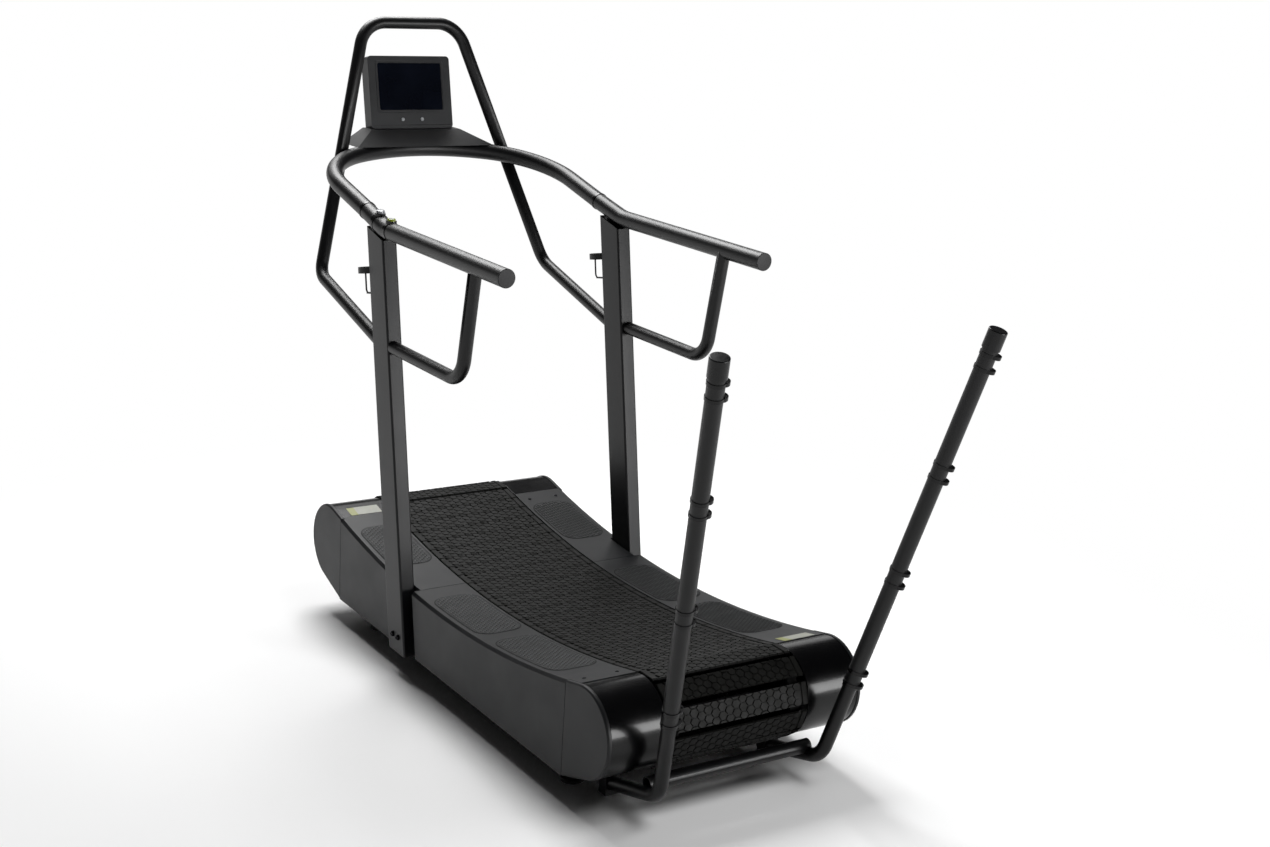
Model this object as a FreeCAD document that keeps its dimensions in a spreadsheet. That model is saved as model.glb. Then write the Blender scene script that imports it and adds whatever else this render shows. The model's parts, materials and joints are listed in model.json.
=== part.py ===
import FreeCAD, Part
import math
import os

import Sketcher
from FreeCAD import Placement, Rotation, Vector

# Curved manual treadmill. X points to the runner's right, Y forward to the console, Z up.
# The origin lies on the floor under the middle of the whole object. All lengths are in millimetres.

doc = FreeCAD.newDocument("CurvedTreadmill")
sheet = doc.addObject("Spreadsheet::Sheet", "Sizes")
aliases = []


class Size:
    """A length or angle that knows its value and the sheet expression it comes from."""

    def __init__(self, value, text):
        self.value = float(value)
        self.text = text

    def joined(self, other, sign, value):
        other_text = other.text if isinstance(other, Size) else repr(other)
        return Size(value, "(%s %s %s)" % (self.text, sign, other_text))

    def __add__(self, other):
        return self.joined(other, "+", self.value + other.value)

    def __sub__(self, other):
        return self.joined(other, "-", self.value - other.value)

    def __mul__(self, other):
        return self.joined(other, "*", self.value * number(other))

    def __truediv__(self, other):
        return self.joined(other, "/", self.value / number(other))

    def __rsub__(self, other):
        return Size(other - self.value, "(%s - %s)" % (repr(other), self.text))

    def __neg__(self):
        return Size(-self.value, "(-1 * %s)" % self.text)


def number(item):
    return item.value if isinstance(item, Size) else float(item)


def root(item):
    return Size(math.sqrt(item.value), "sqrt(%s)" % item.text)


def sine(angle):
    return Size(math.sin(math.radians(angle.value)), "sin(%s * 1 deg)" % angle.text)


def cosine(angle):
    return Size(math.cos(math.radians(angle.value)), "cos(%s * 1 deg)" % angle.text)


def tangent(angle):
    return Size(math.tan(math.radians(angle.value)), "tan(%s * 1 deg)" % angle.text)


def arctangent(share):
    return Size(math.degrees(math.atan(share.value)), "(atan(%s) / 1 deg)" % share.text)


def arccosine(share):
    return Size(math.degrees(math.acos(share.value)), "(acos(%s) / 1 deg)" % share.text)


zero = Size(0, "0")


def size(alias, value, note):
    """One driving dimension: a plain number in a cell of the sheet, with its alias."""
    row = len(aliases) + 1
    aliases.append(alias)
    sheet.set("A%d" % row, note)
    sheet.set("B%d" % row, str(value))
    sheet.setAlias("B%d" % row, alias)
    return Size(value, "Sizes.%s" % alias)


# Running belt
deck_shift = size("deck_shift", 55.1, "deck centre ahead of the origin")
pulley_span = size("pulley_span", 1521.0, "between the two shaft centres")
pulley_height = size("pulley_height", 232.0, "shaft centres above the floor")
slat_reach = size("slat_reach", 122.0, "shaft centre to the running surface")
run_radius = size("run_radius", 3202.0, "radius of the concave running surface")
belt_width = size("belt_width", 432.0, "length of a slat across the belt")
slat_count = 60
slat_gap = size("slat_gap", 2.4, "between two slats on the flat run")
slat_edge = size("slat_edge", 6.0, "height of a slat's upright long sides")
slat_depth = size("slat_depth", 19.0, "running surface to a slat's foot")
slat_foot = size("slat_foot", 24.0, "width of a slat's foot on the carrier belts")
drive_belt_width = size("drive_belt_width", 30.0, "rubber carrier belt under the slat ends")
drive_belt_thickness = size("drive_belt_thickness", 9.4, "carrier belt")
drive_belt_inset = size("drive_belt_inset", 26.0, "belt edge to a carrier belt's middle")
seat_gap = size("seat_gap", 0.3, "running gap between faces that pass each other")
fit_gap = size("fit_gap", 0.05, "radial clearance of a running fit")

# Shafts, pulleys, bearings
shaft_diameter = size("shaft_diameter", 25.0, "pulley shafts")
shaft_overhang = size("shaft_overhang", 6.0, "shaft end beyond the side plate")
bearing_diameter = size("bearing_diameter", 52.0, "shaft bearing outside")
bearing_width = size("bearing_width", 15.0, "shaft bearing")
pulley_width = size("pulley_width", 34.0, "pulley rim and hub")
pulley_rim = size("pulley_rim", 9.0, "pulley rim thickness")
pulley_web = size("pulley_web", 8.0, "pulley web thickness")
pulley_hub = size("pulley_hub", 56.0, "pulley hub diameter")

# Side plates, cross members, outriggers
plate_offset = size("plate_offset", 22.0, "belt edge to a side plate's inner face")
plate_thickness = size("plate_thickness", 8.0, "side plate")
plate_inset = size("plate_inset", 24.0, "side plate edge below the running surface")
plate_low = size("plate_low", 95.0, "side plates' lower edge above the floor")
plate_end = size("plate_end", 62.0, "side plate beyond the shaft centre")
plate_nose_top = size("plate_nose_top", 53.0, "plate's nose above the shaft centre")
plate_nose_low = size("plate_nose_low", 52.0, "plate's nose below the shaft centre")
plate_shoulder = size("plate_shoulder", 36.0, "shaft centre to the start of the plate's nose")
beam_height = size("beam_height", 54.0, "cross members and outriggers, height")
beam_width = size("beam_width", 60.0, "cross members and outriggers, along the deck")
beam_wall = size("beam_wall", 3.0, "wall of the beam tubes")
cross_base = size("cross_base", 146.0, "cross members' lower face above the floor")
cross_pitch = size("cross_pitch", 450.0, "between the cross members")
outrigger_base = size("outrigger_base", 110.0, "outriggers' lower face above the floor")
outrigger_rear = size("outrigger_rear", -204.5, "middle outrigger from the deck centre")
roller_diameter = size("roller_diameter", 30.0, "guide rollers under the carrier belts")
roller_width = size("roller_width", 14.0, "guide rollers")
roller_axle = size("roller_axle", 10.0, "guide roller axle diameter")
roller_pitch = size("roller_pitch", 70.0, "between two guide rollers")
roller_count = 17
rail_bar = size("rail_bar", 16.0, "curved roller rail, thickness across")
rail_depth = size("rail_depth", 26.0, "curved roller rail, height")
rail_half = size("rail_half", 609.0, "deck centre to the roller rails' ends")

# Side covers and end pieces
cover_gap = size("cover_gap", 5.0, "belt edge to the side covers")
cover_wall = size("cover_wall", 6.0, "side cover wall")
cover_chamfer = size("cover_chamfer", 8.0, "bevel along the covers' upper edge")
cover_seam = size("cover_seam", 183.5, "seam between the front and rear side covers")
cover_end_rear = size("cover_end_rear", 726.5, "deck centre to the rear covers' outer ends")
cover_end_front = size("cover_end_front", 680.0, "deck centre to the front covers' outer ends")
deck_side = size("deck_side", 181.0, "belt edge to the covers' outer faces")
panel_thickness = size("panel_thickness", 12.0, "round end panels")
panel_bottom = size("panel_bottom", 75.0, "lower edge of the covers above the floor")
panel_seam = size("panel_seam", 672.5, "deck centre to the seams of the round end panels")
seam_gap = size("seam_gap", 0.8, "open seam between neighbouring covers")
end_cover_wall = size("end_cover_wall", 4.0, "glossy end covers over the shafts")
end_cover_step = size("end_cover_step", 2.0, "end covers below the running surface")
pad_width = size("pad_width", 148.0, "grip pads across the deck")
pad_corner = size("pad_corner", 46.0, "grip pads' corner radius")
pad_rise = size("pad_rise", 1.5, "grip pads above the covers")
pad_offset = size("pad_offset", 87.0, "belt edge to the grip pads' middle")
pad_front = size("pad_front", 478.5, "front pad from the deck centre")
pad_front_length = size("pad_front_length", 256.0, "front pad along the deck")
pad_middle = size("pad_middle", -39.5, "middle pad from the deck centre")
pad_middle_length = size("pad_middle_length", 308.0, "middle pad along the deck")
pad_rear = size("pad_rear", -414.5, "rear pad from the deck centre")
pad_rear_length = size("pad_rear_length", 340.0, "rear pad along the deck")
screw_head = size("screw_head", 11.0, "cover screw head diameter")
screw_height = size("screw_height", 2.4, "cover screw head")
screw_inset = size("screw_inset", 40.0, "covers' outer ends to the cover screws")
screw_half = size("screw_half", 49.0, "cover screws either side of the pads' middle line")
label_length = size("label_length", 104.0, "blank label plates across the deck")
label_width = size("label_width", 42.0, "blank label plates along the deck")
label_thickness = size("label_thickness", 0.8, "blank label plates")
label_front = size("label_front", 708.0, "label on a front end cover, from the deck centre")
label_rear = size("label_rear", -702.5, "label on a rear side cover, from the deck centre")

# Feet and transport wheels
foot_place = size("foot_place", 574.5, "deck centre to the feet, along the deck")
foot_offset = size("foot_offset", 84.0, "belt edge to the feet")
foot_pad = size("foot_pad", 64.0, "levelling foot pad diameter")
foot_pad_height = size("foot_pad_height", 18.0, "levelling foot pad")
foot_stem = size("foot_stem", 14.0, "levelling foot stem diameter")
foot_stem_entry = size("foot_stem_entry", 40.0, "levelling foot stem inside its outrigger")
wheel_place = size("wheel_place", 354.5, "transport wheels ahead of the deck centre")
wheel_offset = size("wheel_offset", 129.0, "belt edge to the transport wheels")
wheel_height = size("wheel_height", 63.0, "transport wheel axles above the floor")
wheel_diameter = size("wheel_diameter", 72.0, "transport wheels")
wheel_width = size("wheel_width", 24.0, "transport wheels")
wheel_axle = size("wheel_axle", 12.0, "transport wheel axle diameter")
cheek_wall = size("cheek_wall", 5.0, "transport wheel bracket cheeks")
cheek_gap = size("cheek_gap", 0.6, "wheel to a bracket cheek")
cheek_width = size("cheek_width", 40.0, "bracket cheeks along the deck")
cheek_drop = size("cheek_drop", 14.0, "bracket cheek below the wheel axle")

# Uprights
upright_lean = size("upright_lean", 9.95, "uprights lean forward, degrees")
upright_offset = size("upright_offset", 177.0, "belt edge to an upright's middle")
upright_width = size("upright_width", 46.0, "upright tube across")
upright_depth = size("upright_depth", 101.5, "upright tube along the deck")
upright_wall = size("upright_wall", 3.0, "upright tube wall")
upright_corner = size("upright_corner", 6.0, "upright tube outer corner radius")
upright_heel = size("upright_heel", 181.5, "deck centre to the upright's rear lower edge")
upright_bottom = size("upright_bottom", 70.0, "upright's lower end above the floor")
upright_gap = size("upright_gap", 2.0, "cover notches round the uprights")
socket_base = size("socket_base", 88.0, "upright brackets' lower face above the floor")
socket_height = size("socket_height", 66.0, "upright brackets")
socket_width = size("socket_width", 80.0, "upright brackets along the deck")
bolt_head = size("bolt_head", 17.0, "upright bolt head across its corners")
bolt_height = size("bolt_height", 6.0, "upright bolt head")
bolt_lift = size("bolt_lift", 48.0, "upright bolts above its lower end")
bolt_pitch = size("bolt_pitch", 34.0, "between the two upright bolts")

# Handrails, front rail, lower rails, hoop
rail_tube = size("rail_tube", 50.8, "handrail and front rail tube")
small_tube = size("small_tube", 38.0, "lower rails, hoop and rear legs")
tube_wall = size("tube_wall", 2.6, "wall of the round tubes")
weld_gap = size("weld_gap", 0.1, "a welded tube's end from the tube that it meets")
rail_height = size("rail_height", 1285.0, "level handrail above the floor")
rail_rear = size("rail_rear", -303.5, "rear end of the handrails")
rail_rear_spread = size("rail_rear_spread", 12.0, "handrails' rear ends outside the uprights' middle")
rail_bend = size("rail_bend", 402.5, "where the handrails turn up")
rail_bend_spread = size("rail_bend_spread", 5.0, "handrails outside the uprights' middle at that bend")
rail_bend_radius = size("rail_bend_radius", 180.0, "handrail bend")
rail_slope = size("rail_slope", 13.2, "front part of the rails rises, degrees")
collar_place = size("collar_place", 537.5, "joint collars ahead of the deck centre")
collar_width = size("collar_width", 9.0, "joint collars")
collar_rise = size("collar_rise", 1.6, "joint collars outside the tube")
plug_rise = size("plug_rise", 3.0, "end plug beyond the tube")
plug_depth = size("plug_depth", 16.0, "end plug inside the tube")
arch_reach = size("arch_reach", 474.0, "collars to the front rail's middle, along the rail")
arch_corner_radius = size("arch_corner_radius", 270.0, "front rail corners")
arch_front_radius = size("arch_front_radius", 600.0, "front rail across the front")
lower_rail_spread = size("lower_rail_spread", 4.0, "lower rails outside the uprights' middle")
lower_rail_height = size("lower_rail_height", 957.0, "level run of the lower rails")
lower_rail_top = size("lower_rail_top", -128.5, "lower rail under the handrail")
lower_rail_bottom = size("lower_rail_bottom", -72.5, "lower rail's bend corner")
lower_rail_radius = size("lower_rail_radius", 78.0, "lower rail bend")
hoop_root_height = size("hoop_root_height", 954.0, "hoop arms at the uprights' front faces")
hoop_pass_inset = size("hoop_pass_inset", 109.4, "hoop inside its arms where it passes the front rail")
hoop_bite = size("hoop_bite", 3.2, "hoop's weld into the front rail's side")
hoop_knee_radius = size("hoop_knee_radius", 66.0, "hoop knee bends")
hoop_top_inset = size("hoop_top_inset", 232.0, "hoop's top corners inside its arms")
hoop_top_ahead = size("hoop_top_ahead", 33.0, "hoop's top bar ahead of the display's lower edge")
hoop_clearance = size("hoop_clearance", 99.0, "hoop's top bar above the display's height")
hoop_top_radius = size("hoop_top_radius", 95.0, "hoop's top corners")

# Console
console_width = size("console_width", 286.0, "display housing")
console_height = size("console_height", 228.0, "display housing")
console_depth = size("console_depth", 46.0, "display housing")
console_corner = size("console_corner", 12.0, "display housing's corner radius")
console_tilt = size("console_tilt", 12.0, "display leans forward, degrees")
console_ahead = size("console_ahead", 47.5, "display's lower face edge ahead of the front rail's middle")
console_rise = size("console_rise", 56.0, "display's lower edge above the front rail's middle")
screen_width = size("screen_width", 222.0, "screen glass")
screen_height = size("screen_height", 148.0, "screen glass")
screen_lift = size("screen_lift", 58.0, "screen above the housing's lower edge")
screen_depth = size("screen_depth", 3.0, "screen glass thickness")
screen_recess = size("screen_recess", 1.0, "screen behind the housing's face")
button_diameter = size("button_diameter", 11.0, "console buttons")
button_rise = size("button_rise", 2.2, "console buttons proud of the face")
button_depth = size("button_depth", 8.0, "console buttons inside the housing")
button_lift = size("button_lift", 29.0, "console buttons above the housing's lower edge")
button_place = size("button_place", 34.0, "console buttons either side of the middle")
button_travel = size("button_travel", 1.5, "console and remote button travel")
base_top_half = size("base_top_half", 156.0, "console base, half width at the top")
base_low_half = size("base_low_half", 238.0, "console base, half width at the rail")
base_rise = size("base_rise", 13.0, "console base's lower edge above the front rail's middle")
base_top_back = size("base_top_back", 23.0, "console base's top behind the display's lower edge")
base_top_ahead = size("base_top_ahead", 41.0, "console base's top ahead of the display's lower edge")
base_low_back = size("base_low_back", 55.5, "console base's foot behind the front rail's middle")
base_low_ahead = size("base_low_ahead", 62.5, "console base's foot ahead of the front rail's middle")

# Handrail remote
remote_place = size("remote_place", 411.5, "between the two round controls")
remote_half = size("remote_half", 41.0, "round controls either side of that place")
remote_seat = size("remote_seat", 31.0, "round control's black seat, diameter")
remote_height = size("remote_height", 5.0, "round control's seat above the tube")
remote_button = size("remote_button", 24.0, "round control's button, diameter")
remote_rise = size("remote_rise", 7.0, "remote buttons proud of their seats")
remote_sink = size("remote_sink", 3.0, "remote buttons inside their seats")
strap_wall = size("strap_wall", 1.6, "strap round the handrail")
strap_width = size("strap_width", 14.0, "strap along the handrail")

# Bottle cages
cage_lift = size("cage_lift", 1087.0, "bottle cage's foot above the floor")
cage_bore = size("cage_bore", 64.0, "bottle cage band inside")
cage_band = size("cage_band", 18.0, "bottle cage band height")
cage_wall = size("cage_wall", 3.0, "bottle cage band, plate and foot")
cage_height = size("cage_height", 78.0, "bottle cage, foot to the band's top")
cage_gap = size("cage_gap", 3.0, "upright's face to the cage's band")
cage_plate = size("cage_plate", 26.0, "cage back plate, width")
cage_arm = size("cage_arm", 12.0, "cage arm and foot, width")
cage_wire = size("cage_wire", 5.0, "cage's front wire")
cage_bend = size("cage_bend", 12.0, "bend of the cage's front wire")

# Rear legs and resistance posts
post_tube = size("post_tube", 42.0, "resistance post tube")
sleeve_gap = size("sleeve_gap", 0.2, "leg inside its post, all round")
post_side_lean = size("post_side_lean", 7.03, "posts lean outward, degrees")
post_back_lean = size("post_back_lean", 14.70, "posts lean back, degrees")
leg_offset = size("leg_offset", 38.5, "belt edge to the legs' bend corners")
post_foot = size("post_foot", -908.5, "legs' bend corners behind the deck centre")
post_foot_height = size("post_foot_height", 93.0, "legs' bend corners above the floor")
leg_bend_radius = size("leg_bend_radius", 70.0, "leg bends")
leg_slope = size("leg_slope", 15.6, "legs run down under the deck, degrees")
leg_end = size("leg_end", -660.5, "legs' front ends")
leg_insert = size("leg_insert", 120.0, "leg inside the post")
post_start = size("post_start", 226.0, "bend corner to the post's lower end")
post_end = size("post_end", 1250.0, "bend corner to the post's upper end")
cross_tube_place = size("cross_tube_place", -850.5, "rear cross tube behind the deck centre")
cross_tube_height = size("cross_tube_height", 101.0, "rear cross tube above the floor")
cap_diameter = size("cap_diameter", 47.5, "post caps")
cap_length = size("cap_length", 50.0, "post caps")
cap_top = size("cap_top", 6.0, "post cap's closed end")
ring_diameter = size("ring_diameter", 45.4, "band collars, round part")
ring_width = size("ring_width", 9.0, "band collars")
ring_pitch = size("ring_pitch", 38.0, "between the two collars of a pair")
ring_first = size("ring_first", 258.0, "bend corner to the lowest collar pair")
ring_step = size("ring_step", 305.0, "between the collar pairs")
ring_pairs = 4
ring_lug = size("ring_lug", 34.0, "lug diameter on a collar")
ring_lug_reach = size("ring_lug_reach", 15.0, "post centre to the lug's centre")
ring_eye = size("ring_eye", 6.0, "hole through a lug")
ring_eye_reach = size("ring_eye_reach", 26.5, "post centre to the hole's centre")
ring_turn_left = size("ring_turn_left", 80.0, "left collars' lugs turned to the right, degrees")
ring_turn_right = size("ring_turn_right", 35.0, "right collars' lugs turned to the right, degrees")
clamp_width = size("clamp_width", 44.0, "leg clamp blocks across")
clamp_length = size("clamp_length", 34.0, "leg clamp blocks along the deck")
clamp_place = size("clamp_place", -684.5, "leg clamp blocks from the deck centre")
clamp_floor = size("clamp_floor", 4.0, "leg clamp blocks above the floor")
overrun = size("overrun", 5.0, "cutting tools past a face")

doc.recompute()

# Places that follow from the sizes
half_span = pulley_span / 2
reach_radius = run_radius + slat_reach
run_centre = pulley_height + root(reach_radius * reach_radius - half_span * half_span)
belt_half = belt_width / 2
cover_inner = belt_half + cover_gap
drive_belt_place = belt_half - drive_belt_inset
plate_place = belt_half + plate_offset
panel_place = belt_half + deck_side
pad_place = belt_half + pad_offset
foot_side = belt_half + foot_offset
wheel_side = belt_half + wheel_offset
upright_place = belt_half + upright_offset
rail_rear_side = upright_place + rail_rear_spread
rail_bend_side = upright_place + rail_bend_spread
lower_rail_side = upright_place + lower_rail_spread
post_foot_side = belt_half + leg_offset
belt_outer = slat_reach - slat_depth - seat_gap
belt_inner = belt_outer - drive_belt_thickness
pitch_radius = belt_outer - drive_belt_thickness / 2
pulley_radius = belt_inner - seat_gap
roller_run = run_radius + slat_reach - belt_inner + seat_gap + roller_diameter / 2
lean_slope = tangent(upright_lean)
rail_rise = tangent(rail_slope)


def arc_height(radius, y):
    """Height of an arc about the running surface's centre, at a place y along the deck."""
    return run_centre - root(radius * radius - y * y)


def surface(y):
    return arc_height(run_radius, y)


def rear_face(height):
    """Place along the deck of the uprights' rear face at a height."""
    return upright_heel + (height - upright_bottom) * lean_slope


def slot_edge(height):
    """Place of the leaning seam behind an upright at a height."""
    return cover_seam - (surface(cover_seam) - height) * lean_slope


# Building helpers
parts = []
across = Vector(1, 0, 0)
sides = (("left", -1), ("right", 1))
ends = (("rear", -1), ("front", 1))


def keep(item, label):
    """Name a finished sub-part, shift it with the deck and list it for export."""
    item.Label = label
    if item.TypeId == "Part::Feature":
        item.Placement = Placement(Vector(0, deck_shift.value, 0), Rotation())
    else:
        item.setExpression("Placement.Base.y", deck_shift.text)
    parts.append(item)
    return item


def bind(item, prop, amount):
    item.setExpression(prop, amount.text)


def place(item, x=None, y=None, z=None):
    for name, amount in (("x", x), ("y", y), ("z", z)):
        if amount is not None:
            bind(item, "Placement.Base." + name, amount)
    return item


def box(name, x, y, z, length, width, height):
    """A block from its lowest corner."""
    item = doc.addObject("Part::Box", name)
    bind(item, "Length", length)
    bind(item, "Width", width)
    bind(item, "Height", height)
    return place(item, x, y, z)


def rod(name, diameter, length, x, y, z, rotation=None):
    """A cylinder from the centre of its first end, upright unless it is rotated."""
    item = doc.addObject("Part::Cylinder", name)
    bind(item, "Radius", diameter / 2)
    bind(item, "Height", length)
    item.Placement = Placement(Vector(), rotation or Rotation())
    return place(item, x, y, z)


def cross_rod(name, diameter, length, x, y, z):
    """A cylinder along X whose middle stands at x."""
    return rod(name, diameter, length, x - length / 2, y, z, Rotation(Vector(0, 1, 0), 90))


def cut(name, base, tool):
    item = doc.addObject("Part::Cut", name)
    item.Base = base
    item.Tool = tool
    return item


def fuse(name, pieces):
    item = doc.addObject("Part::MultiFuse", name)
    item.Shapes = pieces
    return item


def group(label, pieces):
    """Several separate solids that share one node."""
    item = doc.addObject("Part::Compound", label)
    item.Links = pieces
    return keep(item, label)


def feature(label, shape):
    item = doc.addObject("Part::Feature", label)
    item.Shape = shape
    return keep(item, label)


def new_body(name):
    return doc.addObject("PartDesign::Body", name)


def profile(body, name, loops, role="YZ_Plane", offset=None):
    """A sketch on one of its body's planes. A loop is (corners, arcs) or a circle (u, v, diameter)."""
    sketch = body.newObject("Sketcher::SketchObject", name)
    plane = next(f for f in body.Origin.OriginFeatures if f.Role == role)
    sketch.AttachmentSupport = [(plane, "")]
    sketch.MapMode = "FlatFace"
    if offset is not None:
        bind(sketch, "AttachmentOffset.Base.z", offset)
    for loop in loops:
        if len(loop) == 3:
            draw_circle(sketch, *loop)
        else:
            draw_loop(sketch, *loop)
    return sketch


def draw_circle(sketch, u, v, diameter):
    circle = Part.Circle(Vector(u.value, v.value, 0), Vector(0, 0, 1), diameter.value / 2)
    index = sketch.addGeometry(circle)
    pin(sketch, index, 3, (u, v))
    constraint = sketch.addConstraint(Sketcher.Constraint("Diameter", index, diameter.value))
    bind(sketch, "Constraints[%d]" % constraint, diameter)


def draw_loop(sketch, corners, arcs):
    """Lines through the corners (u, v); arcs gives {side: (radius, centre)} for the curved sides."""
    first = sketch.GeometryCount
    points = [Vector(u.value, v.value, 0) for u, v in corners]
    tails = []
    for index, start in enumerate(points):
        end = points[(index + 1) % len(points)]
        if index not in arcs:
            sketch.addGeometry(Part.LineSegment(start, end))
            tails.append((1, 2))
            continue
        radius, (u, v) = arcs[index]
        centre = Vector(u.value, v.value, 0)
        from_start = math.atan2(start.y - centre.y, start.x - centre.x)
        from_end = math.atan2(end.y - centre.y, end.x - centre.x)
        sweep = (from_end - from_start) % math.tau
        forward = sweep < math.pi
        begin = from_start if forward else from_end
        sweep = sweep if forward else math.tau - sweep
        circle = Part.Circle(centre, Vector(0, 0, 1), radius.value)
        sketch.addGeometry(Part.ArcOfCircle(circle, begin, begin + sweep))
        tails.append((1, 2) if forward else (2, 1))
    for index, corner in enumerate(corners):
        following = (index + 1) % len(corners)
        sketch.addConstraint(Sketcher.Constraint(
            "Coincident", first + index, tails[index][1], first + following, tails[following][0]))
        pin(sketch, first + index, tails[index][0], corner)
    for index, (_, centre) in arcs.items():
        chord = points[(index + 1) % len(points)] - points[index]
        pin(sketch, first + index, 3, centre, "DistanceX" if abs(chord.y) > abs(chord.x) else "DistanceY")


def pin(sketch, geometry, point, corner, only=None):
    """Hold a sketch point at its place from the sheet, in one direction if only names it."""
    for kind, axis, amount in (("DistanceX", -2, corner[0]), ("DistanceY", -1, corner[1])):
        if only not in (None, kind):
            continue
        if amount.value == 0:
            sketch.addConstraint(Sketcher.Constraint("PointOnObject", geometry, point, axis))
            continue
        constraint = sketch.addConstraint(
            Sketcher.Constraint(kind, -1, 1, geometry, point, amount.value))
        bind(sketch, "Constraints[%d]" % constraint, amount)


def pad(body, sketch, length, back=False, middle=False):
    item = body.newObject("PartDesign::Pad", "Pad")
    item.Profile = sketch
    bind(item, "Length", length)
    item.Reversed = back
    item.Midplane = middle
    return item


def pocket(body, sketch, length, back=False, middle=False):
    item = body.newObject("PartDesign::Pocket", "Pocket")
    item.Profile = sketch
    bind(item, "Length", length)
    item.Reversed = back
    item.Midplane = middle
    return item


def dress(body, kind, base, amount, chosen):
    """A fillet or chamfer on the edges of base that the test picks."""
    doc.recompute()
    names = ["Edge%d" % (i + 1) for i, edge in enumerate(base.Shape.Edges) if chosen(edge)]
    item = body.newObject("PartDesign::" + kind, kind)
    item.Base = (base, names)
    bind(item, "Radius" if kind == "Fillet" else "Size", amount)
    return item


def rectangle(u0, v0, u1, v1):
    return [(u0, v0), (u1, v0), (u1, v1), (u0, v1)], {}


def route(points, radii):
    """A wire through points, with an arc of each radius at the inner corners."""
    edges = []
    start = points[0]
    for before, corner, after, radius in zip(points, points[1:], points[2:], radii):
        back = (before - corner).normalize()
        ahead = (after - corner).normalize()
        half = back.getAngle(ahead) / 2
        run = radius / math.tan(half)
        middle = corner + (back + ahead).normalize() * (radius / math.sin(half) - radius)
        edges.append(Part.LineSegment(start, corner + back * run).toShape())
        edges.append(Part.Arc(corner + back * run, middle, corner + ahead * run).toShape())
        start = corner + ahead * run
    edges.append(Part.LineSegment(start, points[-1]).toShape())
    return Part.Wire(edges)


def swept(wire, diameter):
    """A solid round bar along a wire."""
    edge = wire.Edges[0]
    begin = edge.FirstParameter
    circle = Part.Circle(edge.valueAt(begin), edge.tangentAt(begin), diameter / 2)
    return wire.makePipeShell([Part.Wire(circle.toShape())], True, False)


def tube(label, wire, diameter, wall, neighbours=()):
    """A tube along a wire, cut back from the outside of each neighbour."""
    shape = swept(wire, diameter.value).cut(swept(wire, (diameter - wall * 2).value))
    for neighbour in neighbours:
        shape = shape.cut(neighbour)
    return feature(label, max(shape.Solids, key=lambda solid: solid.Volume))


def point(x, y, z, sign=1):
    return Vector(sign * x.value, y.value, z.value)


def far_rim(rod_shape, start):
    """The round edge at the far end of a cylinder."""
    rims = [edge for edge in rod_shape.Edges if edge.Closed]
    return [max(rims, key=lambda edge: edge.CenterOfMass.distanceToPoint(start))]


# Slat belt: its path is measured from the rearmost point of the rear pulley's pitch line
wrap_top = 90 + math.degrees(math.asin((half_span / reach_radius).value))
wrap_front = wrap_top + 90
arc_radius = (reach_radius - pitch_radius).value
arc_angle = 2 * (wrap_top - 90)
stretch_lengths = (
    math.radians(wrap_top) * pitch_radius.value,
    math.radians(arc_angle) * arc_radius,
    math.radians(wrap_front) * pitch_radius.value,
    pulley_span.value,
    math.radians(90) * pitch_radius.value,
)
slat_pitch = sum(stretch_lengths) / slat_count


def slat_frame(travel):
    """Place and tilt of the belt's pitch line at a distance of travel."""
    stretch = 0
    while travel > stretch_lengths[stretch]:
        travel -= stretch_lengths[stretch]
        stretch += 1
    height = pulley_height.value
    if stretch == 1:
        tilt = math.degrees(travel / arc_radius) - arc_angle / 2
        centre = Vector(0, 0, run_centre.value)
        spoke = Vector(0, 0, -arc_radius)
    elif stretch == 3:
        tilt = 180
        centre = Vector(0, half_span.value - travel, height)
        spoke = Vector(0, 0, pitch_radius.value)
    else:
        turned = math.degrees(travel / pitch_radius.value)
        starts = {0: 90, 2: wrap_top - 90, 4: 180}
        tilt = starts[stretch] - turned
        centre = Vector(0, half_span.value * (1 if stretch == 2 else -1), height)
        spoke = Vector(0, 0, pitch_radius.value)
    turn = Rotation(across, tilt)
    return Placement(centre + turn.multVec(spoke), turn)


slat_half = slat_pitch / 2 - slat_gap.value / 2
rise = (slat_reach - pitch_radius).value
slat_section = [
    (-slat_half, rise),
    (slat_half, rise),
    (slat_half, rise - slat_edge.value),
    (slat_foot.value / 2, rise - slat_depth.value),
    (-slat_foot.value / 2, rise - slat_depth.value),
    (-slat_half, rise - slat_edge.value),
]
slat_face = Part.Face(Part.makePolygon(
    [Vector(-belt_width.value / 2, y, z) for y, z in slat_section + slat_section[:1]]))
slat = slat_face.extrude(Vector(belt_width.value, 0, 0))
slats = []
for index in range(slat_count):
    copy = slat.copy()
    copy.Placement = slat_frame((index + 0.5) * slat_pitch)
    slats.append(copy)
feature("slat_belt", Part.Compound(slats))


# Carrier belts under the slats' ends
def belt_loop(radius):
    """The closed line at a radius from the shafts, which follows the running surface."""
    share = radius / reach_radius
    top_y = half_span * (1 - share)
    top_z = pulley_height + (run_centre - pulley_height) * share
    rear = (-half_span, pulley_height)
    front = (half_span, pulley_height)
    low = pulley_height - radius
    corners = [
        (-top_y, top_z),
        (top_y, top_z),
        (half_span + radius, pulley_height),
        (half_span, low),
        (-half_span, low),
        (-half_span - radius, pulley_height),
    ]
    arcs = {
        0: (reach_radius - radius, (zero, run_centre)),
        1: (radius, front),
        2: (radius, front),
        4: (radius, rear),
        5: (radius, rear),
    }
    return corners, arcs


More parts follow.
